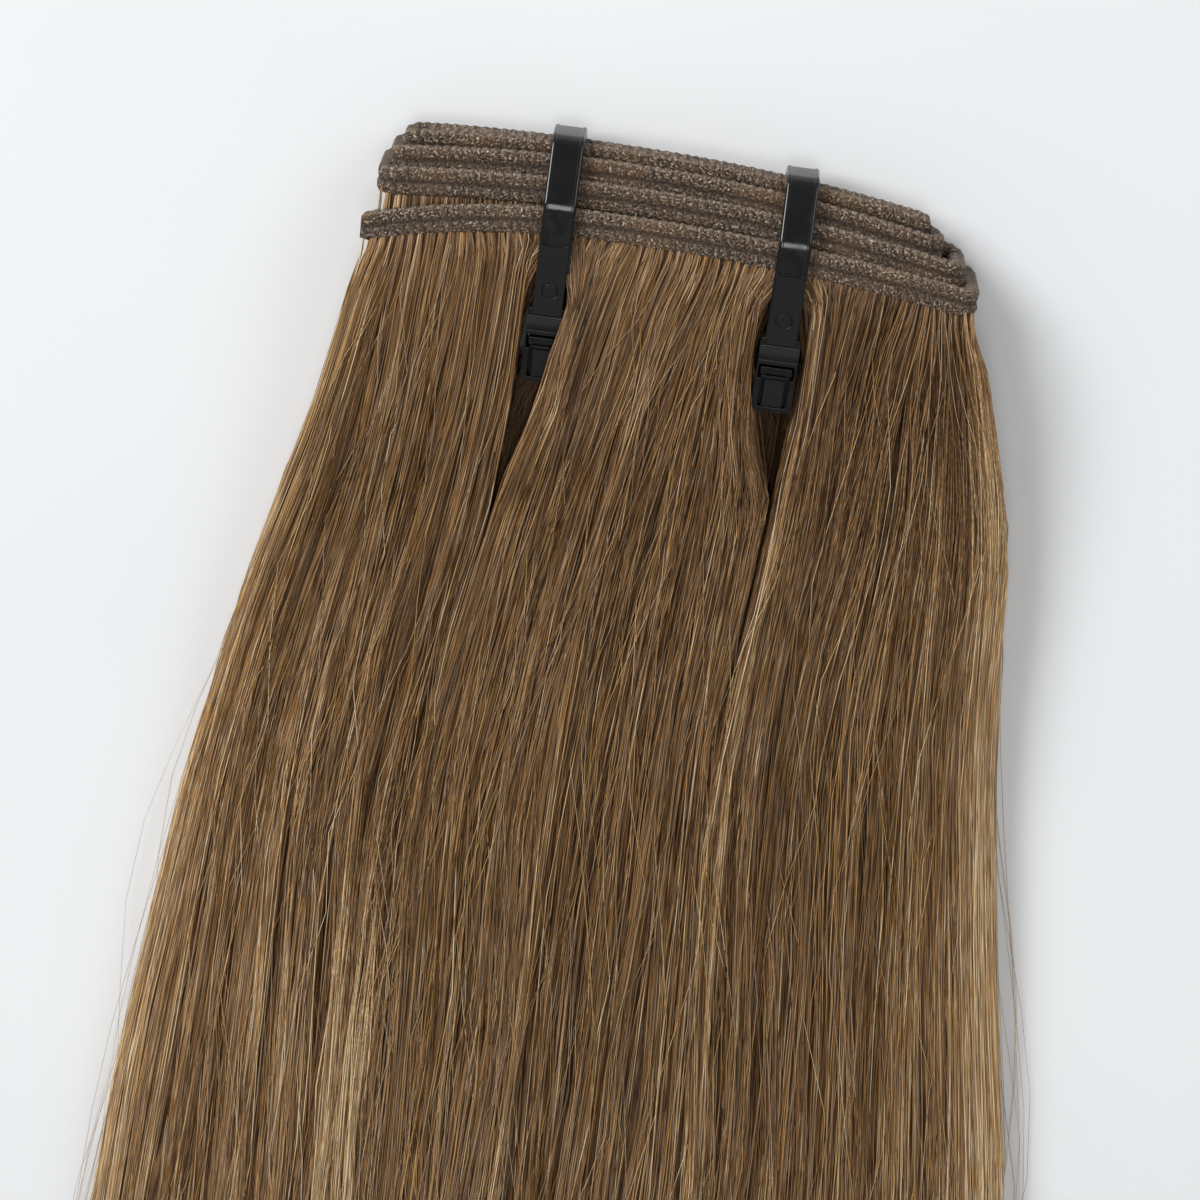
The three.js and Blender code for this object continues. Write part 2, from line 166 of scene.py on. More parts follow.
def quads_of(*corners):
    """Quads from four arrays of corner numbers."""
    return np.stack(corners, -1).reshape(-1, 4)


def mesh_of(name, points, quads, triangles=np.zeros((0, 3), int)):
    """A smooth mesh from points in millimetres and arrays of faces."""
    corners = np.concatenate([np.ravel(quads), np.ravel(triangles)]).astype(np.int32)
    totals = np.concatenate([np.full(len(quads), 4), np.full(len(triangles), 3)])
    mesh = bpy.data.meshes.new(name)
    mesh.vertices.add(len(points))
    mesh.vertices.foreach_set("co", (points * MM + ORIGIN).astype(np.float32).ravel())
    mesh.loops.add(len(corners))
    mesh.loops.foreach_set("vertex_index", corners)
    mesh.polygons.add(len(totals))
    mesh.polygons.foreach_set("loop_start", (np.cumsum(totals) - totals).astype(np.int32))
    mesh.polygons.foreach_set("use_smooth", np.ones(len(totals), bool))
    mesh.update(calc_edges=True)
    return mesh


def loft_mesh(name, rings):
    """A closed mesh through rings of points, with a middle point in each end."""
    count, sides = rings.shape[:2]
    here = np.arange(sides)
    after = (here + 1) % sides
    first = np.arange(count - 1)[:, None] * sides
    quads = quads_of(first + here, first + sides + here, first + sides + after, first + after)
    points = np.concatenate([rings.reshape(-1, 3), rings[[0, -1]].mean(1)])
    last = (count - 1) * sides
    low_end = np.stack([np.full(sides, count * sides), here, after], 1)
    high_end = np.stack([np.full(sides, count * sides + 1), last + after, last + here], 1)
    return mesh_of(name, points, quads, np.concatenate([low_end, high_end]))


def set_values(mesh, **values):
    """Named numbers on the mesh's points, for its material to read."""
    for name, numbers in values.items():
        layer = mesh.attributes.new(name, "FLOAT", "POINT")
        layer.data.foreach_set("value", np.ravel(numbers).astype(np.float32))


def set_map(mesh, places):
    """The map that a bake uses, from a place for each point."""
    corners = np.empty(len(mesh.loops), np.int32)
    mesh.loops.foreach_get("vertex_index", corners)
    layer = mesh.uv_layers.new(name="OFBake")
    layer.uv.foreach_set("vector", places[corners].astype(np.float32).ravel())


def add_object(name, data):
    made = bpy.data.objects.new(name, data)
    bpy.context.scene.collection.objects.link(made)
    return made


def add_piece(mesh, material, stands_for=()):
    piece = add_object(mesh.name, mesh)
    mesh.materials.append(material)
    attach(piece, "root")
    if stands_for:
        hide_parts(*stands_for)
    return piece


# Materials


def tone(red, green, blue):
    """A colour given as screen values from 0 to 255."""
    values = np.array([red, green, blue]) / 255.0
    linear = np.where(values <= 0.04045, values / 12.92, ((values + 0.055) / 1.055) ** 2.4)
    return (*linear, 1.0)


def new_material(name, colour):
    material = bpy.data.materials.new(name)
    material.diffuse_color = colour
    material.use_nodes = True
    tree = material.node_tree
    return material, tree, tree.nodes["Principled BSDF"]


def set_inputs(node, inputs):
    """Sets a node's inputs to values, or links them to sockets."""
    for key, value in inputs.items():
        if isinstance(value, bpy.types.NodeSocket):
            node.id_data.links.new(value, node.inputs[key])
        else:
            node.inputs[key].default_value = value


def add_node(tree, kind, inputs=None, **settings):
    made = tree.nodes.new(kind)
    for key, value in settings.items():
        setattr(made, key, value)
    set_inputs(made, inputs or {})
    return made


def attributes(tree, *names):
    made = [add_node(tree, "ShaderNodeAttribute", attribute_name=name) for name in names]
    return [node.outputs["Fac"] for node in made]


def maths(operation, *values):
    tree = values[0].id_data
    return add_node(tree, "ShaderNodeMath", dict(enumerate(values)), operation=operation).outputs[0]


def times(a, b):
    return maths("MULTIPLY", a, b)


def plus(a, b):
    return maths("ADD", a, b)


def flat_place(x, y):
    return add_node(x.id_data, "ShaderNodeCombineXYZ", {"X": x, "Y": y}).outputs[0]


def ramp(factor, stops):
    """A colour ramp through (place, colour) stops."""
    made = add_node(factor.id_data, "ShaderNodeValToRGB", {"Fac": factor})
    elements = made.color_ramp.elements
    while len(elements) < len(stops):
        elements.new(0.5)
    for element, (place, colour) in zip(elements, stops):
        element.position = place
        element.color = colour
    return made.outputs["Color"]


def ranged(value, low, high, to_low=0.0, to_high=1.0):
    inputs = {"Value": value, "From Min": low, "From Max": high, "To Min": to_low, "To Max": to_high}
    made = add_node(value.id_data, "ShaderNodeMapRange", inputs, interpolation_type="SMOOTHSTEP")
    return made.outputs["Result"]


def noise(place, scale, detail, distortion=0.0, dimensions="2D"):
    inputs = {"Vector": place, "Scale": scale, "Detail": detail, "Distortion": distortion}
    return add_node(place.id_data, "ShaderNodeTexNoise", inputs, noise_dimensions=dimensions).outputs["Fac"]


def blended(factor, a, b):
    """A mix of two colours, through the mix node's colour sockets."""
    made = add_node(factor.id_data, "ShaderNodeMix", {0: factor, 6: a, 7: b}, data_type="RGBA")
    return made.outputs[2]


def bumped(height, strength, distance):
    inputs = {"Height": height, "Strength": strength, "Distance": distance}
    return add_node(height.id_data, "ShaderNodeBump", inputs).outputs[0]


# Hair tones from the darkest hair to the palest: place in the ramp, colour near the weft and near the tips
HAIR_TONES = [
    (0.0, (44, 27, 12), (74, 50, 26)),
    (0.2, (86, 60, 34), (120, 89, 56)),
    (0.34, (110, 86, 60), (148, 118, 86)),
    (0.46, (130, 97, 64), (166, 130, 92)),
    (0.58, (146, 117, 87), (182, 151, 116)),
    (0.72, (176, 139, 96), (206, 170, 124)),
    (0.86, (198, 167, 127), (222, 194, 152)),
    (1.0, (226, 202, 164), (236, 216, 184)),
]
ROOT_TONES = [(place, tone(*root)) for place, root, tip in HAIR_TONES]
TIP_TONES = [(place, tone(*tip)) for place, root, tip in HAIR_TONES]
TIPS_FROM = 0.10
TIPS_TO = 0.85


def hair_colour(tint, along):
    """Tones that drift along each hair and differ a little in warmth from hair to hair."""
    apart, down = times(tint, 120.0), times(along, 24.0)
    drift = noise(flat_place(apart, down), 1.0, 1.0)
    shade = plus(tint, ranged(drift, 0.25, 0.75, -0.15, 0.15))
    lightened = ranged(along, TIPS_FROM, TIPS_TO)
    colour = blended(lightened, ramp(shade, ROOT_TONES), ramp(shade, TIP_TONES))
    warmth = noise(flat_place(along, apart), 1.3, 0.0)
    strength = ranged(warmth, 0.3, 0.7, 0.88, 1.16)
    inputs = {"Saturation": strength, "Color": colour}
    return add_node(tint.id_data, "ShaderNodeHueSaturation", inputs).outputs[0]


def hair_material():
    material, tree, shader = new_material("hair", ROOT_TONES[3][1])
    colour = hair_colour(*attributes(tree, "tint", "along"))
    set_inputs(shader, {"Base Color": colour, "Roughness": 0.42, "Specular IOR Level": 0.34})
    return material


def bed_material():
    """Hair deep in the pile, in streaks darker than the strands over it: the darker tints are painted shade
    of the deep pile.
    """
    material, tree, shader = new_material("hair_bed", ROOT_TONES[1][1])
    lane, along = attributes(tree, "lane", "along")
    fine = noise(flat_place(lane, times(along, 9.0)), 4.5, 3.0)
    # Tints from 0.02 to 0.46, lower than the strands', are painted shade deep in the pile.
    colour = hair_colour(ranged(fine, 0.36, 0.72, 0.02, 0.46), along)
    ridged = bumped(fine, 0.6, 0.0003)
    set_inputs(shader, {"Base Color": colour, "Normal": ridged})
    set_inputs(shader, {"Roughness": 0.5, "Specular IOR Level": 0.35})
    return material


# Stitches of the weft: their pitch, how far they turn over a millimetre of height, and the pitch of the yarn
STITCH = 1.42
STITCH_SLANT = 2.1
CORD_PITCH = 0.56


def weft_material():
    """Two cords of taupe yarn, with painted shade in the groove between them, in the gaps between thread
    turns and on the lower half of the front, a painted highlight along the upper edge, and pale specks that
    are partly thread and partly painted glints.
    """
    material, tree, shader = new_material("weft", tone(92, 76, 64))
    run, up, raised = attributes(tree, "run", "up", "raised")
    place = flat_place(run, up)
    yarn = noise(place, 2.5, 2.5)
    broad = noise(place, 0.08, 2.0)
    specks = noise(place, 2.2, 2.0, 0.6)

    def turned(pitch, slant, jitter):
        """Turns of thread, from 0 in their gaps to 1 on their crests."""
        turns = plus(times(run, 1.0 / pitch), times(up, slant))
        uneven = plus(turns, ranged(yarn, 0.2, 0.8, 0.0, jitter))
        wound = maths("SINE", times(uneven, TAU))
        return ranged(wound, -1.0, 1.0)

    stitch, ply = turned(STITCH, STITCH_SLANT / TAU, 0.8), turned(CORD_PITCH, 0.9, 2.0)
    wound = plus(times(stitch, 0.28), times(ply, 0.18))
    height = plus(wound, ranged(yarn, 0.34, 0.66, 0.0, 0.58))
    # Dark in the gaps between thread turns and light on their crests: painted shade in the gaps, over the
    # yarn's own uneven tone.
    yarn_tones_shaded_in_gaps = [(0.1, tone(29, 20, 13)), (0.5, tone(77, 59, 43)), (0.92, tone(120, 99, 80))]
    base = ramp(height, yarn_tones_shaded_in_gaps)
    warm = blended(ranged(broad, 0.4, 0.7, 0.0, 0.5), base, tone(104, 77, 52))
    # Pale specks on the crests of the stitch rows: partly pale thread, partly painted glints of the thread.
    specks_and_glints = ranged(specks, 0.5, 0.66, 0.0, 0.8)
    crest = times(specks_and_glints, ranged(height, 0.4, 0.8))
    shown = blended(times(crest, raised), warm, tone(226, 211, 194))
    # Painted highlight along the upper edge of each pass, where the light catches it.
    edge = times(ranged(up, 1.5, 2.05), ranged(height, 0.2, 0.8, 0.12, 0.5))
    rim_highlighted = blended(edge, shown, tone(148, 133, 118))
    # Painted shade on the lower half of the front face.
    lower = ranged(up, -0.5, 0.5, 0.2, 0.0)
    shaded = blended(lower, rim_highlighted, tone(52, 40, 32))
    # Painted shade in the groove between the two cords.
    groove_shade = ranged(raised, 0.0, 0.5, 0.6, 0.0)
    colour = blended(groove_shade, shaded, tone(34, 25, 19))
    set_inputs(shader, {"Base Color": colour, "Normal": bumped(height, 0.7, 0.0003)})
    set_inputs(shader, {"Roughness": 0.6, "Specular IOR Level": 0.4})
    return material


def tie_material():
    """Moulded black plastic, polished, with matt faces on the neck, the bar and the pawl."""
    material, tree, shader = new_material("tie", tone(12, 12, 13))
    place = add_node(tree, "ShaderNodeTexCoord").outputs["Object"]
    parts = add_node(tree, "ShaderNodeSeparateXYZ", {0: place}).outputs
    raised = ranged(parts["Z"], (NECK.high - 0.1) * MM, (NECK.high - 0.06) * MM)
    pawl_top, window_end = PAWL.top * MM + ORIGIN[1], WINDOW.end * MM + ORIGIN[1]
    below = ranged(parts["Y"], pawl_top + 0.05 * MM, pawl_top - 0.05 * MM)
    above = ranged(parts["Y"], window_end - 0.1 * MM, window_end + 0.1 * MM)
    sunk = ranged(parts["Z"], (HEAD.high - 0.3) * MM, (HEAD.high - 0.4) * MM)
    pawl = times(times(below, above), sunk)
    matt = maths("MAXIMUM", raised, pawl)
    grain = noise(place, 2600.0, 2.0, dimensions="3D")
    blotch = noise(place, 420.0, 2.0, dimensions="3D")
    polished = ranged(blotch, 0.35, 0.7, 0.14, 0.24)
    rough = ranged(grain, 0.3, 0.7, 0.56, 0.68)
    gloss = add_node(tree, "ShaderNodeMix", {"Factor": matt, "A": polished, "B": rough}).outputs["Result"]
    colour = blended(matt, tone(9, 9, 10), tone(12, 12, 12))
    specular = ranged(matt, 0.0, 1.0, 0.5, 0.28)
    set_inputs(shader, {"Base Color": colour, "Roughness": gloss, "Specular IOR Level": specular})
    set_inputs(shader, {"Normal": bumped(grain, 0.12, 0.0001)})
    return material


def floor_material():
    material, tree, shader = new_material("floor", tone(238, 239, 240))
    place = add_node(tree, "ShaderNodeTexCoord").outputs["Object"]
    stops = [(0.3, (0.80, 0.81, 0.82, 1.0)), (0.7, (0.83, 0.838, 0.845, 1.0))]
    colour = ramp(noise(place, 9.0, 2.0), stops)
    set_inputs(shader, {"Base Color": colour, "Roughness": 0.7, "Specular IOR Level": 0.2})
    return material


# The weft


def front_rise(turn, x):
    """Height of a turn's front pass up the stair, at a place along the weft."""
    left = x < ARCH_TOP
    reach = np.where(left, turn.left, turn.right) - ARCH_TOP
    drop = np.where(left, turn.drop_left, turn.drop_right)
    return turn.rise - drop * ((x - ARCH_TOP) / reach) ** 2


def back_rise(index, x):
    """A back pass climbs from its own front pass at the right to the next turn's at the left."""
    turn = TURNS[index]
    after = TURNS[min(index + 1, len(TURNS) - 1)]
    along = (turn.right - x) / (turn.right - after.left)
    return mix(front_rise(turn, x), front_rise(after, x), smooth(along))


def pass_height(level):
    return LOWEST_PASS + PASS_PITCH * level


def weft_passes():
    """The back and the front passes, from the outermost turn in."""
    back, front = [], []
    for i, turn in enumerate(TURNS):
        left = TURNS[i + 1].left if i + 1 < len(TURNS) else INNER_END
        rise = partial(back_rise, i)
        back.append(Record(left=left, right=turn.right, height=pass_height(i), rise=rise))
        height, rise = pass_height(TOP - i), partial(front_rise, turn)
        front.append(Record(left=turn.left, right=turn.right, height=height, rise=rise))
    return back, front


BACK, FRONT = weft_passes()
PASSES = [*BACK, *reversed(FRONT)]

WEFT_STEP = 0.4
CORNER_STEPS = 8
TURN_FILL = Record(most=2.0, share=0.9)


def weft_path():
    """The strip's middle line through the roll: rows of x, y, z, its face's angle and the room inside."""
    rows = []
    half = BAND.bead / 2

    def run(weft_pass, start, stop, angle):
        count = max(int(abs(stop - start) / WEFT_STEP), 2)
        x = np.linspace(start, stop, count)
        level = np.full((count, 3), [weft_pass.height, angle, half])
        rows.append(np.column_stack([x, weft_pass.rise(x), level]))

    def corner(x, z, radius, weft_pass, start):
        angle = start - np.linspace(0.0, math.pi / 2, CORNER_STEPS + 1)[1:-1]
        at = x - radius * np.sin(angle)
        room = np.full_like(at, min(TURN_FILL.most, TURN_FILL.share * radius))
        rows.append(np.stack([at, weft_pass.rise(at), z + radius * np.cos(angle), angle, room], 1))

    start = FRONT[0].left
    for i, turn in enumerate(TURNS):
        radius = min(TURN_RADIUS, (FRONT[i].height - BACK[i].height) / 2)
        right = turn.right - half - radius
        run(FRONT[i], start, right, 0.0)
        corner(right, FRONT[i].height - radius, radius, FRONT[i], 0.0)
        corner(right, BACK[i].height + radius, radius, BACK[i], -math.pi / 2)
        if i + 1 == len(TURNS):
            run(BACK[i], right, INNER_END, -math.pi)
            break
        radius = min(TURN_RADIUS, (FRONT[i + 1].height - BACK[i].height) / 2)
        start = FRONT[i + 1].left + half + radius
        run(BACK[i], right, start, -math.pi)
        corner(start, BACK[i].height + radius, radius, BACK[i], -math.pi)
        corner(start, FRONT[i + 1].height - radius, radius, FRONT[i + 1], -1.5 * math.pi)
    return np.concatenate(rows)


# Half of one face of the strip's section, from its middle to its upper edge: height, half thickness, and how
# much of a raised stitch row it is
HALF_FACE = [
    (0.0, 0.35, 0.0), (0.26, 0.4, 0.25), (0.56, 0.48, 0.8), (0.94, 0.54, 1.0),
    (1.36, 0.55, 1.0), (1.76, 0.49, 1.0), (2.06, 0.36, 0.8), (2.20, 0.18, 0.5),
]
STITCH_SWELL = 0.14
STITCH_UNEVEN = 0.8
EDGE_SCALLOP = 0.1
EDGE_FROM = 1.9
TURN_NARROW = 0.14
END_ROUND = 1.5
END_THIN = 0.1
END_LOW = 0.55
END_RAISED = 0.4
CREST_UNEVEN = 0.28
BACK_SHIFT = 7.0
ROW_MARGIN = 0.02


def weft_piece(material):
    path = weft_path()
    moves = np.linalg.norm(np.diff(path[:, :3], axis=0), axis=1)
    run = np.concatenate([[0.0], np.cumsum(moves)])
    half_face = np.array(HALF_FACE)
    face = np.concatenate([(half_face * [-1.0, 1.0, 1.0])[:0:-1], half_face])
    section = np.concatenate([face, (face * [1.0, -1.0, 1.0])[::-1]])
    up, out, raised = (column[None, :] for column in section.T)
    x, y, z, angle, room = (column[:, None] for column in path.T)
    rng = np.random.default_rng(SEEDS.weft)
    knots = np.arange(0.0, run[-1] + STITCH, STITCH / 2)
    uneven = np.interp(run, knots, rng.uniform(-1.0, 1.0, len(knots)))
    twist = np.sin(TAU * run[:, None] / STITCH + STITCH_SLANT * up + STITCH_UNEVEN * uneven[:, None])
    turned_in = np.sin(angle) ** 2
    filled = np.where(out < 0, turned_in * (2.0 * room / BAND.bead - 1.0), 0.0)
    thick = out * (1.0 + STITCH_SWELL * raised * twist + filled)
    scallop = EDGE_SCALLOP * np.sign(up) * (np.abs(up) > EDGE_FROM) * twist
    lifted = up * (1.0 - TURN_NARROW * turned_in) + scallop
    from_end = np.minimum(run, run[-1] - run)[:, None]
    rounded = np.sqrt(1.0 - (1.0 - np.minimum(END_THIN + from_end / END_ROUND, 1.0)) ** 2)
    thick, lifted = thick * rounded, lifted * mix(END_LOW, 1.0, rounded)
    points = np.stack([x - thick * np.sin(angle), y + lifted, z + thick * np.cos(angle)], 2)
    mesh = loft_mesh("weft", points)
    rings, sides = points.shape[:2]
    grid = np.ones((rings, sides))
    side_up = np.where(np.arange(sides) < len(face), up[0], up[0] + BACK_SHIFT)
    crest = np.clip(grid * raised * (1.0 - CREST_UNEVEN + CREST_UNEVEN * twist), 0, 1)
    set_values(
        mesh,
        run=np.append(grid * run[:, None], [run[0], run[-1]]),
        up=np.append(grid * side_up, [0.0, 0.0]),
        raised=np.append(crest, [END_RAISED, END_RAISED]),
    )
    turn = run[:, None] / run[-1] * LEVELS
    row = np.minimum(np.floor(turn), LEVELS - 1)
    place_v = (row + ROW_MARGIN + (1.0 - 2.0 * ROW_MARGIN) * np.arange(sides) / sides) / LEVELS
    places = np.stack([grid * (turn - row), place_v], 2).reshape(-1, 2)
    set_map(mesh, np.concatenate([places, [[0.0, 0.0], [1.0, 1.0]]]))
    add_piece(mesh, material, ["weft_band"])


# The hair

LOCK = Record(
    width=6.5, uneven=0.32, gather=0.16, crown=0.5, level=0.35, wander=0.7, stagger=14.0, point=18.0,
    long=(110.0, 320.0), lift=0.25, tint=0.03,
)
TUFT = Record(
    over=7.0, gather=0.42, gather_uneven=0.6, gather_beat=4.1, place_uneven=0.3, place_beat=7.3
)
ROOT_SUNK = 0.9
ROOT_THICK = 0.5
ROOT_OVER = 10.0
ROW_POWER = 1.85
EDGE_STILL = 0.8
FLOOR_CLEAR = 0.12
# Stretches along the hair from its root, or below the weft, over which something sets in
PILED_OVER = (0.0, 9.0)
CROWNED_OVER = (6.0, 56.0)
GATHERED_OVER = (15.0, 175.0)
GATHERED_MORE = (250.0, 450.0)
LOOSE_OVER = (20.0, 160.0)
PARTING = Record(
    start=-2.6, top=-6.5, to=-25.0, fade=60.0, soft=1.3, least=0.1, near=6.0, spacing=0.85, stray=0.5
)
UNDER_PARTING = Record(to=-19.0, close_y=-27.0)
COVER = Record(
    start=-8.0, end=-23.0, top=17.95, thick=0.7, near=6.5, full=3.5, rise=-6.0, risen=-11.0, fall=-26.0,
    fallen=-44.0,
)


def tie_places(level):
    """The places across the pile whose hair starts at each tie."""
    weft_pass = PASSES[level]
    low, high = weft_pass.left + ROOT_INSET, weft_pass.right - ROOT_INSET
    roots = [2.0 * (tie.x - low) / (high - low) - 1.0 for tie in TIES]
    return np.interp(roots, LEAN_ROOT, LEAN_PLACE)


def lock_table(level):
    """The locks of one curtain: their edges across it, and each lock's wander and tip."""
    rng = np.random.default_rng(SEEDS.locks + level)
    stops = [-1.0, *tie_places(level), 1.0]
    edges = [-1.0]
    for low, high in zip(stops, stops[1:]):
        count = max(2, round((high - low) * PILE_HALF / LOCK.width))
        inner = (np.arange(1, count) + rng.uniform(-LOCK.uneven, LOCK.uneven, count - 1)) / count
        edges += [*mix(low, high, inner), high]
    edges = np.array(edges)
    count = len(edges) - 1
    return Record(
        edges=edges,
        middle=(edges[1:] + edges[:-1]) / 2,
        half=(edges[1:] - edges[:-1]) / 2,
        long=rng.uniform(*LOCK.long, count),
        phase=rng.uniform(0.0, TAU, count),
        lift=rng.uniform(-LOCK.lift, LOCK.lift, count),
        short=rng.uniform(0.0, LOCK.stagger, count),
        tint=rng.normal(0.0, LOCK.tint, count),
    )


def lock_of(locks, across):
    """The number of the lock that each place across the curtain is in."""
    return np.clip(np.searchsorted(locks.edges, across) - 1, 0, len(locks.middle) - 1)


def parted(x, y, across, stray, level, covers):
    """x with the hair parted round each tie, and how far it is lifted to lie over a tie's head."""
    lift = np.zeros_like(x)
    wide = hair_at("right", np.maximum(-y, 0.0))
    for tie, place in zip(TIES, tie_places(level)):
        shown = level >= TOP - 2
        to, close_y = (PARTING.to, tie.close_y) if shown else (UNDER_PARTING.to, UNDER_PARTING.close_y)
        closing = eased(y, to, close_y)
        opening = eased(y, PARTING.start, PARTING.top)
        below = np.maximum(close_y - y, 0.0)
        centre = mix(tie.x, tie.close_x, closing) + tie.drift * below
        side = np.where(across < place, -1.0, 1.0)
        half = np.where(side < 0, tie.left, tie.right) * opening * (1.0 - closing)
        over = covers and tie is TIES[0]
        if over:
            covering = eased(y, COVER.start, COVER.end)
            half = np.where(side > 0, half * (1.0 - covering), half)
        apart = np.abs(across - place) * wide
        held = centre + side * (half + PARTING.spacing * apart + PARTING.stray * np.abs(stray))
        hold = opening * (1.0 - eased(below, 0.0, PARTING.fade))
        x = mix(x, held, hold * np.exp(-((apart / PARTING.near) ** 2)))
        gap = side * (x - centre) - half
        soft = PARTING.soft * np.maximum(opening * (1.0 - closing), PARTING.least)
        x = mix(x, centre + side * (half + (gap + np.sqrt(gap**2 + soft**2)) / 2), hold)
        if over:
            near = eased(side * (x - tie.x), COVER.near, COVER.full)
            risen, fallen = eased(y, COVER.rise, COVER.risen), eased(y, COVER.fall, COVER.fallen)
            lift = np.where(side > 0, near * risen * (1.0 - fallen), lift)
    return x, lift


def flow(level, locks, across, depth, short, share, stray=0.0, crowned=1.0, covers=False):
    """Paths of hairs of one curtain from inside the weft to their tips, as hairs x rows x (x, y, z)."""
    weft_pass = PASSES[level]
    across = across[:, None]
    root = root_of(across)
    root_x = mix(weft_pass.left + ROOT_INSET, weft_pass.right - ROOT_INSET, (root + 1.0) / 2)
    root_y = weft_pass.rise(root_x) - BAND.height / 2 + ROOT_SUNK
    lock = lock_of(locks, across)
    local = (across - locks.middle[lock]) / locks.half[lock]
    tip = short[:, None] + locks.short[lock] + LOCK.point * local**2 - HAIR_LENGTH
    y = mix(root_y, tip, share)
    run, down = root_y - y, np.maximum(-y, 0.0)
    gather = LOCK.gather * eased(down, *GATHERED_OVER) * (1.0 + eased(down, *GATHERED_MORE))
    place = locks.middle[lock] + locks.half[lock] * local * (1.0 - gather)
    leant = 1.0 - (1.0 - np.minimum(down / LEAN_OVER, 1.0)) ** LEAN_POWER
    place = mix(root, place, leant)
    left = mix(hair_at("left", np.minimum(down, LEAN_OVER)), hair_at("left", down), place**4)
    pile_x = np.where(place < 0, left, hair_at("right", down)) * place
    x = mix(root_x, pile_x, eased(run, 0.0, ROOT_OVER if level == TOP else SPREAD_OVER))
    stitch = np.round(root_x / STITCH)
    tuft = STITCH * (stitch + TUFT.place_uneven * np.sin(stitch * TUFT.place_beat + level))
    uneven = 1.0 + TUFT.gather_uneven * np.sin(stitch * TUFT.gather_beat + level)
    x = x + (tuft - root_x) * (TUFT.gather * uneven * (1.0 - eased(run, 0.0, TUFT.over)))
    loose = eased(down, *LOOSE_OVER) * (1.0 - EDGE_STILL * np.abs(across) ** 4)
    turn = TAU * run / locks.long[lock] + locks.phase[lock]
    x = x + LOCK.wander * loose * np.sin(turn) + stray
    x, lift = parted(x, y, across, stray, level, covers)
    reach = np.where(x < 0, hair_at("left", down), hair_at("right", down))
    out = np.minimum(np.abs(x) / reach, 1.0)
    under = np.maximum(hair_at("under", down), 0.0)
    height = hair_at("height", down)
    pile = height * mix(1.0, hair_at("edge", down), out**CROWN_POWER) - under
    crown = LOCK.crown * (LOCK.level - local**2) + locks.lift[lock]
    crown = crown * crowned * eased(down, *CROWNED_OVER) * pile / (height + 1.0)
    pile_z = under + pile / LEVELS * (level + depth) + crown
    root_z = weft_pass.height + ROOT_THICK * (depth - 0.5)
    z = mix(root_z, pile_z, eased(run, *PILED_OVER))
    z = mix(z, np.maximum(z, COVER.top + COVER.thick * depth), lift)
    return np.stack([x, y, np.maximum(z, FLOOR_CLEAR)], 2), down


SIDES = 3
STRAND_RADIUS = (0.06, 0.112)
TAPER = 0.7
TAPER_OVER = 0.28
MAP_OFFSETS = (-0.002, 0.0, 0.002)
MAP_MARGIN = 0.01
WAVE_LENGTHS = (0.6, 1.6)


def wave(rng, run, amount, length):
    """A slow wander of each hair's own, nothing at its root."""
    count = (len(run), 1)
    long = length * rng.uniform(*WAVE_LENGTHS, count)
    phase = rng.uniform(0.0, TAU, count)
    return amount * (np.sin(TAU * run / long + phase) - np.sin(phase))


def row_shares(rng, count, rows):
    """How far along each hair its rows lie, closer near the weft and uneven from hair to hair."""
    row = np.tile(np.arange(float(rows)), (count, 1))
    row[:, 1:-1] += rng.uniform(-0.5, 0.5, (count, 1))
    return (row / (rows - 1)) ** ROW_POWER


def strand_mesh(name, paths, along, radius, tint, rng):
    """Tapered tubes along the paths, with each hair's tint and place along it."""
    hairs, rows = paths.shape[:2]
    taper = 1.0 - TAPER * smooth((along - (1.0 - TAPER_OVER)) / TAPER_OVER)
    turn = rng.uniform(0.0, TAU, (hairs, 1)) + np.arange(SIDES) * TAU / SIDES
    ring = np.stack([np.cos(turn), 0 * turn, np.sin(turn)], 2)
    wide = radius[:, None] * taper
    points = paths[:, :, None, :] + wide[:, :, None, None] * ring[:, None, :, :]
    first = (np.arange(hairs)[:, None, None] * rows + np.arange(rows - 1)[None, :, None]) * SIDES
    here = np.arange(SIDES)
    after = (here + 1) % SIDES
    quads = quads_of(first + here, first + after, first + SIDES + after, first + SIDES + here)
    start = np.arange(hairs)[:, None] * rows * SIDES
    triangles = np.concatenate([start + here[[0, 2, 1]], start + (rows - 1) * SIDES + here])
    mesh = mesh_of(name, points.reshape(-1, 3), quads, triangles)
    shade = np.repeat(np.clip(tint, MAP_MARGIN, 1.0 - MAP_MARGIN), SIDES, axis=1)
    place = np.repeat(along, SIDES, axis=1)
    set_values(mesh, tint=shade, along=place)
    across = np.tile(MAP_OFFSETS, hairs * rows)
    down = mix(MAP_MARGIN, 1.0 - MAP_MARGIN, place.ravel())
    set_map(mesh, np.stack([shade.ravel() + across, down], 1))
    return mesh


TINT = Record(mean=0.44, spread=0.09)
# Golden hairs and dark ones: their share, and the range of their tints
ODD_HAIRS = [(0.12, 0.58, 0.82), (0.18, 0.08, 0.28)]
PALE_SHARE = 0.75
# Pale streaks: place across the pile, reach, where they set in and are full below the weft, and amount
PALE_STREAKS = [(-0.497, 0.027, 92.0, 152.0, 0.64), (-0.572, 0.019, 100.0, 160.0, 0.52)]
LIGHT_LOCK = Record(low=19.8, high=22.4, amount=0.17)
# Painted light on the thin hair at both edges of the pile, lit through: its amount, and where it sets in on
# the left and on the right
PAINTED_EDGE_LIGHT = Record(amount=0.32, left=0.86, right=0.82)
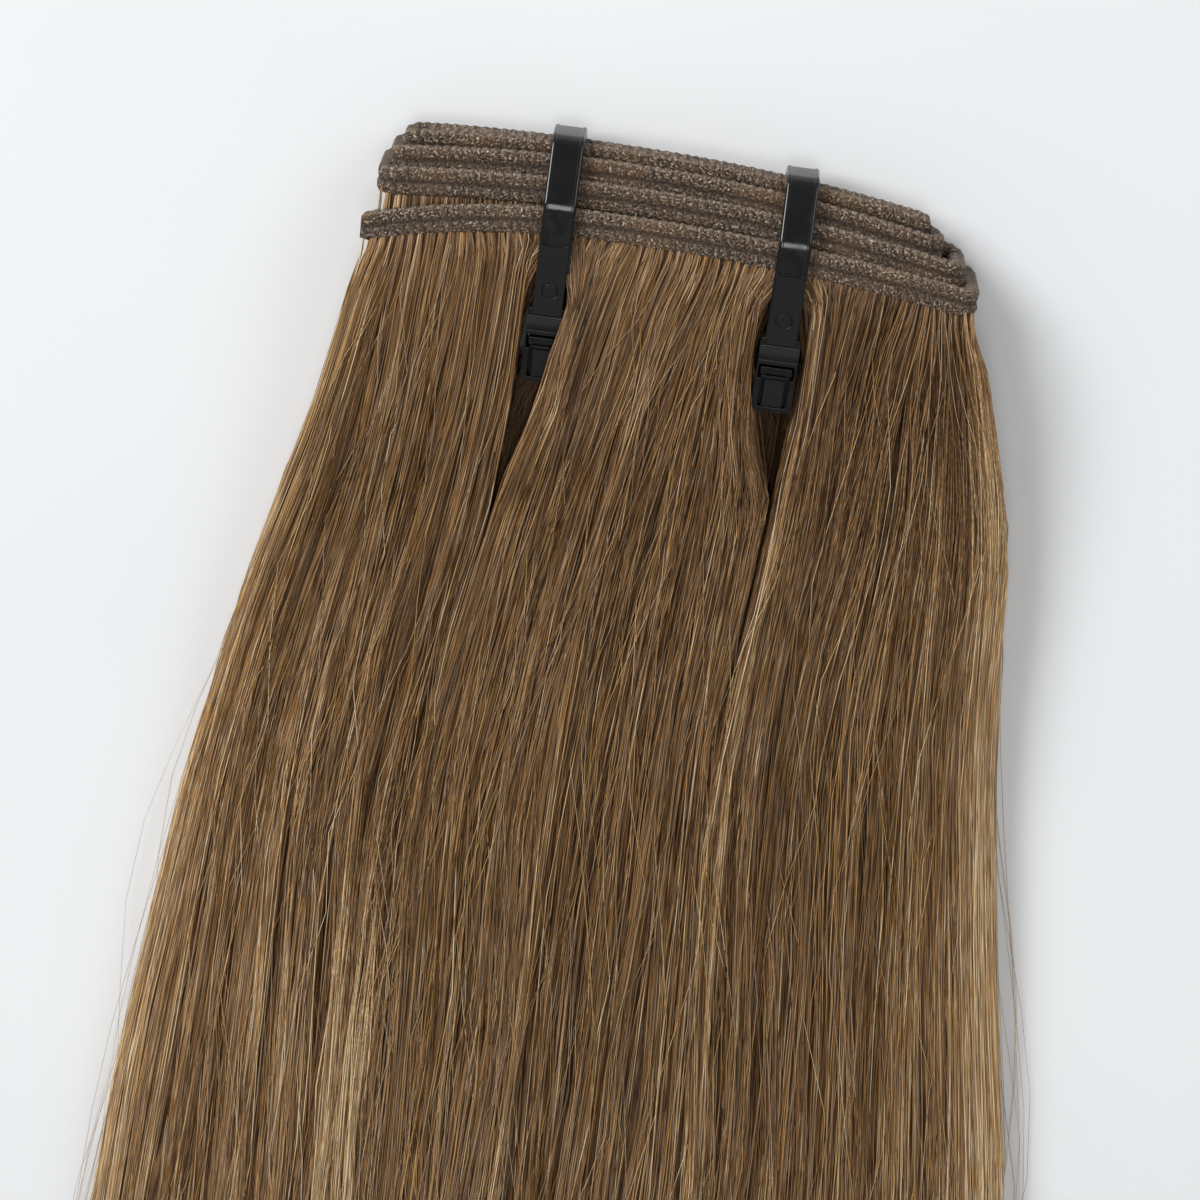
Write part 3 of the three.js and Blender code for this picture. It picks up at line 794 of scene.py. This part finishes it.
# Lighter and darker places, partly the hair's own tone and partly painted light and shade: place across the
# pile, reach, place below the weft, reach, and amount
TONES_AND_PAINTED_LIGHT = [
    (0.8, 0.5, 14.0, 22.0, -0.22),
    (0.68, 0.3, 66.0, 34.0, 0.08),
    (1.0, 0.2, 75.0, 60.0, 0.06),
    (1.0, 0.1, 36.0, 22.0, 0.15),
    (-0.9, 0.45, 150.0, 55.0, 0.09),
    (0.85, 0.4, 150.0, 55.0, 0.1),
    (0.1, 0.3, 140.0, 50.0, -0.03),
    (-0.6, 0.3, 75.0, 35.0, 0.03),
    (0.1, 0.35, 30.0, 28.0, -0.06),
]
CONTRAST = Record(middle=0.45, low=1.3, start=60.0, full=150.0)


def tints(level, locks, wisp_tint, across, down, rng):
    """How light each hair is along its length."""
    count = len(across)
    tint = rng.normal(TINT.mean, TINT.spread, count) + locks.tint[lock_of(locks, across)] + wisp_tint
    for share, low, high in ODD_HAIRS:
        odd = rng.random(count) < share
        tint = np.where(odd, rng.uniform(low, high, count), tint)
    # Painted light: hairs lighter towards both edges of the pile.
    for side, start in ((-1.0, PAINTED_EDGE_LIGHT.left), (1.0, PAINTED_EDGE_LIGHT.right)):
        tint = tint + PAINTED_EDGE_LIGHT.amount * eased(side * across, start, 1.0)
    weft_pass = PASSES[level]
    root_x = mix(weft_pass.left, weft_pass.right, (root_of(across) + 1.0) / 2)
    light = (root_x > LIGHT_LOCK.low) & (root_x < LIGHT_LOCK.high)
    tint = (tint + LIGHT_LOCK.amount * light)[:, None]
    across = across[:, None]
    pale = rng.random((count, 1)) < PALE_SHARE
    for place, wide, start, full, amount in PALE_STREAKS:
        near = np.exp(-(((across - place) / wide) ** 2))
        tint = tint + amount * pale * near * eased(down, start, full)
    # Lighter and darker places, partly the hair's own tone and partly painted light and shade.
    for place, wide, low, high, amount in TONES_AND_PAINTED_LIGHT:
        far = ((across - place) / wide) ** 2 + ((down - low) / high) ** 2
        tint = tint + amount * np.exp(-far)
    contrast = mix(1.0, CONTRAST.low, eased(down, CONTRAST.start, CONTRAST.full))
    return CONTRAST.middle + (tint - CONTRAST.middle) * contrast


BED = Record(
    rows=20, step=0.6, under_step=1.5, reach=0.985, short=(17.0, 31.0), ridge=(-0.16, 0.1), bottom=0.1,
    top=0.34, under_top=0.6, thin_rows=4, thin=0.05, gap=0.0005, shift=11.0,
)


def bed_mesh(level, locks):
    """The dense hair inside one curtain: a ridged slab for each stretch between the ties."""
    rng = np.random.default_rng(SEEDS.beds + level)
    stops = [-BED.reach, *tie_places(level), BED.reach]
    top, step = (BED.top, BED.step) if level == TOP else (BED.under_top, BED.under_step)
    along = (np.arange(BED.rows) / (BED.rows - 1)) ** ROW_POWER
    thin = smooth((np.arange(BED.rows) - (BED.rows - 1 - BED.thin_rows)) / BED.thin_rows)
    points, quads, lanes, alongs, maps = [], [], [], [], []
    count = 0
    for low, high in zip(stops, stops[1:]):
        columns = max(int((high - low) * PILE_HALF / step), 4)
        across = np.linspace(low, high, columns)
        across[[0, -1]] += [BED.gap, -BED.gap]
        short = rng.uniform(*BED.short, columns)
        ridge = rng.uniform(*BED.ridge, columns)
        upper = flow(level, locks, across, (top + ridge)[:, None], short, along)[0]
        lower = flow(level, locks, across, BED.bottom, short, along, crowned=0.0)[0]
        high_z, low_z = upper[:, :, 2], lower[:, :, 2]
        middle = (high_z + low_z) / 2
        high_z[:] = mix(high_z, middle + BED.thin, thin)
        low_z[:] = np.minimum(mix(low_z, middle - BED.thin, thin), high_z - BED.thin)
        points += [upper.reshape(-1, 3), lower.reshape(-1, 3)]
        grid = np.arange(columns * BED.rows).reshape(columns, BED.rows) + count
        below = grid + columns * BED.rows
        count += 2 * columns * BED.rows
        quads += [
            quads_of(grid[:-1, :-1], grid[:-1, 1:], grid[1:, 1:], grid[1:, :-1]),
            quads_of(below[:-1, :-1], below[1:, :-1], below[1:, 1:], below[:-1, 1:]),
            quads_of(grid[:-1, 0], grid[1:, 0], below[1:, 0], below[:-1, 0]),
            quads_of(grid[:-1, -1], below[:-1, -1], below[1:, -1], grid[1:, -1]),
            quads_of(grid[0, :-1], below[0, :-1], below[0, 1:], grid[0, 1:]),
            quads_of(grid[-1, :-1], grid[-1, 1:], below[-1, 1:], below[-1, :-1]),
        ]
        lane = np.repeat(across * PILE_HALF, BED.rows) + BED.shift * level
        long = np.tile(along, columns)
        flat = np.repeat((across + 1.0) / 2, BED.rows)
        lanes += [lane, lane]
        alongs += [long, long]
        lower_v = (0.5 - MAP_MARGIN) * long
        maps += [np.stack([flat, 0.5 + lower_v], 1), np.stack([flat, lower_v], 1)]
    mesh = mesh_of(f"hair_bed_{level + 1}", np.concatenate(points), np.concatenate(quads))
    set_values(mesh, lane=np.concatenate(lanes), along=np.concatenate(alongs))
    set_map(mesh, np.concatenate(maps))
    return mesh


# Strands of each curtain and the rows of points along them, from the lowest curtain up
STRANDS = [450] * (LEVELS - 2) + [1500, 4900]
ROWS = [12] * (LEVELS - 1) + [17]
TOP_PARTS = 3
TOP_DEPTH = Record(low=0.42, over=0.6, power=0.8)
# Lower curtains: strands up to one share are at the edges, up to the next at the ties and then anywhere,
# which the second curtain has more of
UNDER = Record(
    edges=0.62, ties=0.8, second=0.5, edge_reach=0.2, edge_power=1.6, tie_reach=0.05, depth=(0.45, 1.0)
)
WISPS = 78
WISP = Record(
    gather=0.4, overlap=0.22, wander=0.55, long=95.0, longer=2.6, depth=0.18, depth_long=80.0, tint=0.055,
    amounts=(0.4, 1.6),
)
TIP = Record(spread=36.0, power=1.2, broken=60.0, broken_share=0.08)
ROOTED_EVENLY = 0.45
FREE_OVER = (3.0, 48.0)
EDGE_HELD = 0.7
STRAND = Record(wander=0.22, long=110.0, longer=330.0, row_wander=0.16, row_depth=0.11)
CROSSING = Record(share=0.1, wander=0.9, long=90.0, longer=300.0, lift=0.12)


def spread_of(level, count, rng):
    """Where the strands of one curtain are across it, and how deep in it."""
    if level == TOP:
        even = np.interp(rng.uniform(-1.0, 1.0, count), LEAN_ROOT, LEAN_PLACE)
        across = np.where(rng.random(count) < ROOTED_EVENLY, even, rng.uniform(-1.0, 1.0, count))
        return across, TOP_DEPTH.low + TOP_DEPTH.over * rng.random(count) ** TOP_DEPTH.power
    inward = rng.choice([-1.0, 1.0], count)
    edge = inward * (1.0 - UNDER.edge_reach * rng.random(count) ** UNDER.edge_power)
    by_tie = rng.choice(tie_places(level), count) + rng.normal(0.0, UNDER.tie_reach, count)
    anywhere = rng.uniform(-1.0, 1.0, count)
    kind = rng.random(count) + (UNDER.second if level == TOP - 1 else 0.0)
    across = np.where(kind < UNDER.edges, edge, np.where(kind < UNDER.ties, by_tie, anywhere))
    return np.clip(across, -1.0, 1.0), rng.uniform(*UNDER.depth, count)


def strands_of(level, locks, rng):
    """Paths, rows, radii and tints of one curtain's strands, which keep together in wisps."""
    count = STRANDS[level]
    across, depth = spread_of(level, count, rng)
    wisp_at = (across + 1.0) / 2 * WISPS
    wisp = np.clip((wisp_at + rng.normal(0.0, WISP.overlap, count)).astype(int), 0, WISPS - 1)
    across = across + (wisp + 0.5 - wisp_at) * 2.0 / WISPS * WISP.gather * rng.random(count)
    across = np.clip(across, -1.0, 1.0)
    short = TIP.spread * rng.random(count) ** TIP.power
    short = short + TIP.broken * (rng.random(count) < TIP.broken_share) * rng.random(count)
    along = row_shares(rng, count, ROWS[level])
    run = along * HAIR_LENGTH
    free = eased(run, *FREE_OVER)

    def shared(amount, length):
        """A wander that all hairs of a wisp share."""
        long = length * rng.uniform(*WAVE_LENGTHS, WISPS)[wisp][:, None]
        phase = rng.uniform(0.0, TAU, WISPS)[wisp][:, None]
        return amount * rng.uniform(*WISP.amounts, WISPS)[wisp][:, None] * np.sin(TAU * run / long + phase)

    def waves(kind):
        """A short and a long wave of each hair's own."""
        return wave(rng, run, kind.wander, kind.long) + wave(rng, run, kind.wander, kind.longer)

    stray = free * (shared(WISP.wander, WISP.long) + shared(WISP.wander, WISP.longer * WISP.long))
    stray = stray + free * waves(STRAND)
    stray = stray + STRAND.row_wander * free * rng.normal(0.0, 1.0, run.shape)
    crossing = (rng.random(count) < CROSSING.share)[:, None]
    stray = stray + crossing * free * waves(CROSSING)
    stray = stray * (1.0 - EDGE_HELD * np.abs(across[:, None]) ** 6)
    rough = shared(WISP.depth, WISP.depth_long) + STRAND.row_depth * rng.normal(0.0, 1.0, run.shape)
    depth = depth[:, None] + free * rough + CROSSING.lift * crossing * (level == TOP)
    paths, down = flow(level, locks, across, depth, short, along, stray, covers=level == TOP)
    radius = rng.uniform(*STRAND_RADIUS, count)
    wisp_tint = rng.normal(0.0, WISP.tint, WISPS)[wisp]
    return paths, along, radius, tints(level, locks, wisp_tint, across, down, rng)


def hair_pieces(material, bed):
    for level in range(LEVELS):
        locks = lock_table(level)
        rng = np.random.default_rng(SEEDS.strands + level)
        add_piece(bed_mesh(level, locks), bed, [f"hair_layer_{level + 1}"])
        made = strands_of(level, locks, rng)
        parts = TOP_PARTS if level == TOP else 1
        for part in range(parts):
            own = [rows[part::parts] for rows in made]
            name = f"hair_strands_{level + 1}" + (f"_{part + 1}" if parts > 1 else "")
            add_piece(strand_mesh(name, *own, rng), material)


FLYAWAY = Record(
    count=90, rows=30, level=2, across=(0.94, 1.0), short=60.0, start=(30.0, 260.0), long=(90.0, 260.0),
    out=7.0, out_power=1.7, least_out=0.6, low=0.3, over=2.0, tint=(0.4, 0.9), radius=(0.03, 0.05),
)
LOOSE = Record(
    count=130, rows=26, reach=0.93, short=120.0, wander=3.0, long=190.0, fine_wander=1.5, fine_long=76.0,
    free=(4.0, 34.0), depth=1.12, row_depth=0.08, tint=(0.6, 0.92), radius=(0.035, 0.06),
)


def flyaway_piece(material):
    """Single hairs that leave the pile's edges in low arcs and come back to it."""
    rng = np.random.default_rng(SEEDS.flyaways)
    count, each = FLYAWAY.count, (FLYAWAY.count, 1)
    side = rng.choice([-1.0, 1.0], count)
    across = side * rng.uniform(*FLYAWAY.across, count)
    along = row_shares(rng, count, FLYAWAY.rows)
    short = rng.uniform(0.0, FLYAWAY.short, count)
    locks = lock_table(FLYAWAY.level)
    paths, down = flow(FLYAWAY.level, locks, across, rng.random(each), short, along)
    start, long = rng.uniform(*FLYAWAY.start, each), rng.uniform(*FLYAWAY.long, each)
    out = FLYAWAY.out * rng.random(each) ** FLYAWAY.out_power + FLYAWAY.least_out
    bow = np.sin(math.pi * np.clip((down - start) / long, 0.0, 1.0)) ** 2
    paths[:, :, 0] += side[:, None] * out * bow
    low = FLYAWAY.low + FLYAWAY.over * rng.random(each)
    paths[:, :, 2] = mix(paths[:, :, 2], np.minimum(paths[:, :, 2], low), bow)
    tint = np.broadcast_to(rng.uniform(*FLYAWAY.tint, each), down.shape)
    mesh = strand_mesh("flyaway_hairs", paths, along, rng.uniform(*FLYAWAY.radius, count), tint, rng)
    add_piece(mesh, material)


def loose_piece(material):
    """Single pale hairs that lie on the pile and cross the others."""
    rng = np.random.default_rng(SEEDS.loose)
    across = rng.uniform(-LOOSE.reach, LOOSE.reach, LOOSE.count)
    along = row_shares(rng, LOOSE.count, LOOSE.rows)
    run = along * HAIR_LENGTH
    short = rng.uniform(0.0, LOOSE.short, LOOSE.count)
    drift = wave(rng, run, LOOSE.wander, LOOSE.long)
    drift = drift + wave(rng, run, LOOSE.fine_wander, LOOSE.fine_long)
    stray = eased(run, *LOOSE.free) * drift
    depth = LOOSE.depth + LOOSE.row_depth * rng.normal(0.0, 1.0, run.shape)
    paths, down = flow(TOP, lock_table(TOP), across, depth, short, along, stray, covers=True)
    tint = np.broadcast_to(rng.uniform(*LOOSE.tint, (LOOSE.count, 1)), down.shape)
    mesh = strand_mesh("loose_hairs", paths, along, rng.uniform(*LOOSE.radius, LOOSE.count), tint, rng)
    add_piece(mesh, material)


# The ties

BEVEL = 0.07
BEVEL_ANGLE = math.radians(40)
SHARP_ANGLE = math.radians(32)
FLAT_ANGLE = math.radians(1.0)
SHORTEST_EDGE = 0.04
ROUND_SIDES = 32
CORNER_POINTS = 5
EDGE_POINTS = 4


def rounded_path(corners):
    """Points and headings along straight runs with round corners, from (y, z, radius) corners."""
    rows = []
    for i, (y, z, radius) in enumerate(corners):
        here = Vector((y, z))
        before = (here - Vector(corners[i - 1][:2])).normalized() if i else None
        after = (Vector(corners[i + 1][:2]) - here).normalized() if i + 1 < len(corners) else before
        before = before or after
        heading = math.atan2(before.y, before.x)
        if not radius:
            rows.append((y, z, heading))
            continue
        turn = math.atan2(before.x * after.y - before.y * after.x, before.dot(after))
        begin = here - before * radius * math.tan(abs(turn) / 2)
        centre = begin + Vector((-before.y, before.x)) * math.copysign(radius, turn)
        pieces = max(3, round(abs(turn) / BENDS.step))
        for k in range(pieces + 1):
            angle = turn * k / pieces
            spoke = Matrix.Rotation(angle, 2) @ (begin - centre)
            rows.append((centre.x + spoke.x, centre.y + spoke.y, heading + angle))
    return np.array(rows)


def strap_section():
    """The strap's section, with a raised rail along both edges of its outer face: across and out."""
    half, t, edge = STRAP.width / 2, STRAP.thick / 2, STRAP.edge
    quarter = np.linspace(0, math.pi / 2, EDGE_POINTS)
    near, far = edge * (1 - np.cos(quarter)), edge * (1 - np.sin(quarter))
    rail = [(half - STRAP.rail, t), (half - STRAP.rail - STRAP.rail_side, t - STRAP.channel)]
    right = np.concatenate([np.column_stack([half - near, t - far]), rail])
    lower = np.column_stack([half - far, near - t])
    flip = [-1.0, 1.0]
    return np.concatenate([right, right[::-1] * flip, lower[::-1] * flip, lower])


def strap_corners(tie):
    """The strap's way from the head over the roll, down behind it and back up into the head."""
    edges = [float(row.rise(tie.x)) + BAND.height / 2 for row in (FRONT[0], FRONT[-2], FRONT[-1], BACK[1])]
    outer, third, inner, back = edges
    shoulder = math.atan2(FRONT[0].height - FRONT[-2].height, third - outer)
    lift = (SHOULDER_CLEAR + BAND.bead / 2) / math.cos(shoulder)
    top_y = max(inner, third) + STRAP_CLEAR
    kink_y = outer + (FRONT[0].height + lift - STRAP_FRONT) / math.tan(shoulder)
    bottom = STRAP.thick / 2
    return [
        (HEAD.top - STRAP.sunk, STRAP_FRONT, 0.0),
        (kink_y, STRAP_FRONT, BENDS.kink),
        (top_y, STRAP_FRONT - (top_y - kink_y) * math.tan(shoulder), BENDS.top),
        (top_y, BACK[-2].height, BENDS.back),
        (back, bottom, BENDS.back),
        (SLOT_AT, bottom, BENDS.heel),
        (SLOT_AT, TAIL_END, 0.0),
    ]


def strap_mesh(tie):
    y, z, angle = (column[:, None] for column in rounded_path(strap_corners(tie)).T)
    across, out = strap_section().T
    rings = np.stack([tie.x + across + 0 * y, y - out * np.sin(angle), z + out * np.cos(angle)], 2)
    return loft_mesh("strap", rings)


def block_mesh(name, block, x):
    """A block with its middle at x and its upright edges rounded."""
    corner = block.corner
    right, left = x + block.width / 2 - corner, x - block.width / 2 + corner
    near, far = block.end + corner, block.top - corner
    outline = []
    for quarter, (cx, cy) in enumerate([(right, near), (right, far), (left, far), (left, near)]):
        for share in np.linspace(0.0, 1.0, CORNER_POINTS) if corner else [0.5]:
            angle = (quarter - 1 + share) * TAU / 4
            outline.append((cx + corner * math.cos(angle), cy + corner * math.sin(angle)))
    ring = np.array(outline)
    rings = np.stack([np.column_stack([ring, np.full(len(ring), z)]) for z in (block.high, block.low)])
    return loft_mesh(name, rings)


def bar_mesh(tie):
    """The round bar across the head."""
    turn = np.arange(ROUND_SIDES) * TAU / ROUND_SIDES
    circle = np.stack([0 * turn, BAR.radius * np.cos(turn), -BAR.radius * np.sin(turn)], 1)
    ends = [(tie.x + side * HEAD.width / 2, BAR.at, BAR.height) for side in (-1, 1)]
    return loft_mesh("bar", np.stack([np.array(end) + circle for end in ends]))


def mark_mesh(tie):
    """The flat ring that sinks the mark into the neck's front."""
    turn = np.arange(ROUND_SIDES)[:, None] * TAU / ROUND_SIDES
    outer, inner = MARK.width / 2, MARK.width / 2 - MARK.line
    low, high = NECK.high - MARK.deep, NECK.high + MARK.past
    radius, height = np.array([outer, outer, inner, inner]), np.array([high, low, low, high])
    around_x, around_y = tie.x + radius * np.cos(turn), MARK.at + radius * np.sin(turn)
    points = np.stack([around_x, around_y, height + 0 * turn], 2)
    place = np.arange(4 * ROUND_SIDES).reshape(ROUND_SIDES, 4)
    around, inward = np.roll(place, -1, 0), np.roll(place, -1, 1)
    quads = quads_of(place, inward, np.roll(around, -1, 1), around)
    return mesh_of("ring", points.reshape(-1, 3), quads)


def combine(target, mesh, operation):
    """Joins mesh to target, or cuts it from it."""
    other = add_object(mesh.name, mesh)
    step = target.modifiers.new("step", "BOOLEAN")
    step.operation = operation
    step.solver = "EXACT"
    step.object = other
    graph = bpy.context.evaluated_depsgraph_get()
    made = bpy.data.meshes.new_from_object(target.evaluated_get(graph))
    target.modifiers.clear()
    target.data = made
    bpy.data.objects.remove(other)


def merge_short_edges(mesh):
    """Takes out the slivers that joining leaves, so that every edge can be rounded."""
    work = bmesh.new()
    work.from_mesh(mesh)
    bmesh.ops.remove_doubles(work, verts=work.verts, dist=SHORTEST_EDGE * MM)
    bmesh.ops.dissolve_limit(work, angle_limit=FLAT_ANGLE, verts=work.verts, edges=work.edges)
    work.to_mesh(mesh)
    work.free()


def neck_mesh(tie):
    """The neck, with a fine ring sunk in its front."""
    neck = add_object("neck", block_mesh("neck", NECK, tie.x))
    combine(neck, mark_mesh(tie), "DIFFERENCE")
    mesh = neck.data.copy()
    bpy.data.objects.remove(neck)
    return mesh


def head_object(tie):
    """The head with its neck, bar, window, pawl, slot and strap, joined."""
    body = add_object("head", block_mesh("head", HEAD, tie.x))
    combine(body, neck_mesh(tie), "UNION")
    combine(body, bar_mesh(tie), "UNION")
    combine(body, block_mesh("window", WINDOW, tie.x), "DIFFERENCE")
    combine(body, block_mesh("pawl", PAWL, tie.x), "UNION")
    combine(body, block_mesh("slot", SLOT, tie.x), "DIFFERENCE")
    combine(body, strap_mesh(tie), "UNION")
    return body


def tie_piece(tie, material):
    body = head_object(tie)
    mesh = body.data
    mesh.name = f"{tie.name}_plastic"
    bpy.data.objects.remove(body)
    merge_short_edges(mesh)
    mesh.shade_smooth()
    mesh.set_sharp_from_angle(angle=SHARP_ANGLE)
    piece = add_piece(mesh, material, [tie.name])
    bevel = piece.modifiers.new("bevel", "BEVEL")
    bevel.width = BEVEL * MM
    bevel.segments = 2
    bevel.limit_method = "ANGLE"
    bevel.angle_limit = BEVEL_ANGLE
    bevel.use_clamp_overlap = False
    bevel.harden_normals = True


# The stage, in metres

FLOOR_HALF = 2.5
LIGHT_AIM = Vector((0.0, 0.12, 0.0))
# Lights: name, place, size and power
LIGHTS = [
    ("key_softbox", (-1.3, 1.15, 1.25), 1.1, 35.0),
    ("fill_softbox", (1.25, 1.25, 1.25), 1.0, 6.0),
    ("top_softbox", (0.0, 0.35, 2.0), 0.7, 7.5),
]
WORLD = Record(colour=(0.97, 0.985, 1.0, 1.0), level=0.43, overhead=0.25, low=0.45, high=0.85)


def add_floor():
    mesh = bpy.data.meshes.new("floor")
    corners = [(sx * FLOOR_HALF, sy * FLOOR_HALF, 0) for sx, sy in ((-1, -1), (1, -1), (1, 1), (-1, 1))]
    mesh.from_pydata(corners, [], [(0, 1, 2, 3)])
    floor = add_object("floor", mesh)
    mesh.materials.append(floor_material())


def add_light(name, place, size, power):
    data = bpy.data.lights.new(name, "AREA")
    data.shape = "DISK"
    data.size = size
    data.energy = power
    light = add_object(name, data)
    light.location = place
    light.rotation_euler = (LIGHT_AIM - Vector(place)).to_track_quat("-Z", "Y").to_euler()


def add_world():
    """A room that is darker overhead than at the level of the floor."""
    world = bpy.data.worlds.new("studio")
    bpy.context.scene.world = world
    world.use_nodes = True
    tree = world.node_tree
    way = add_node(tree, "ShaderNodeTexCoord").outputs["Generated"]
    rise = add_node(tree, "ShaderNodeSeparateXYZ", {0: way}).outputs["Z"]
    strength = ranged(rise, WORLD.low, WORLD.high, WORLD.level, WORLD.overhead)
    set_inputs(tree.nodes["Background"], {"Color": WORLD.colour, "Strength": strength})


# The photograph's view: its frame in pixels, the weft's middle and slope in it, and the camera's tilt
FRAME_PX = 1200.0
WEFT_PX = (673.0, 238.0)
WEFT_SLOPE = math.radians(7.35)
TILT = math.radians(25.0)
LENS = 85.0
SENSOR = 36.0
PX_MM = 0.147


def add_camera():
    data = bpy.data.cameras.new("camera")
    data.lens = LENS
    data.sensor_width = SENSOR
    data.clip_start = 0.01
    camera = add_object("camera", data)
    turn = Matrix.Rotation(-TILT, 4, "X") @ Matrix.Rotation(WEFT_SLOPE, 4, "Z")
    focal = LENS / SENSOR * FRAME_PX
    seen = Vector((WEFT_PX[0] - FRAME_PX / 2, FRAME_PX / 2 - WEFT_PX[1], -focal)) * PX_MM * MM
    weft_middle = np.array([0.0, float(FRONT[0].rise(0.0)), FRONT[0].height + BAND.bead / 2])
    aim = Vector(weft_middle * MM + ORIGIN)
    camera.matrix_world = Matrix.Translation(aim - turn @ seen) @ turn
    bpy.context.scene.camera = camera


strand_material = hair_material()
hair_pieces(strand_material, bed_material())
flyaway_piece(strand_material)
loose_piece(strand_material)
weft_piece(weft_material())
plastic = tie_material()
for row in TIES:
    tie_piece(row, plastic)
add_floor()
for row in LIGHTS:
    add_light(*row)
add_world()
add_camera()
bpy.context.scene.view_settings.view_transform = "Standard"
cycles = bpy.context.scene.cycles
cycles.max_bounces = 6
cycles.diffuse_bounces = 2
cycles.glossy_bounces = 2
cycles.debug_use_compact_bvh = False
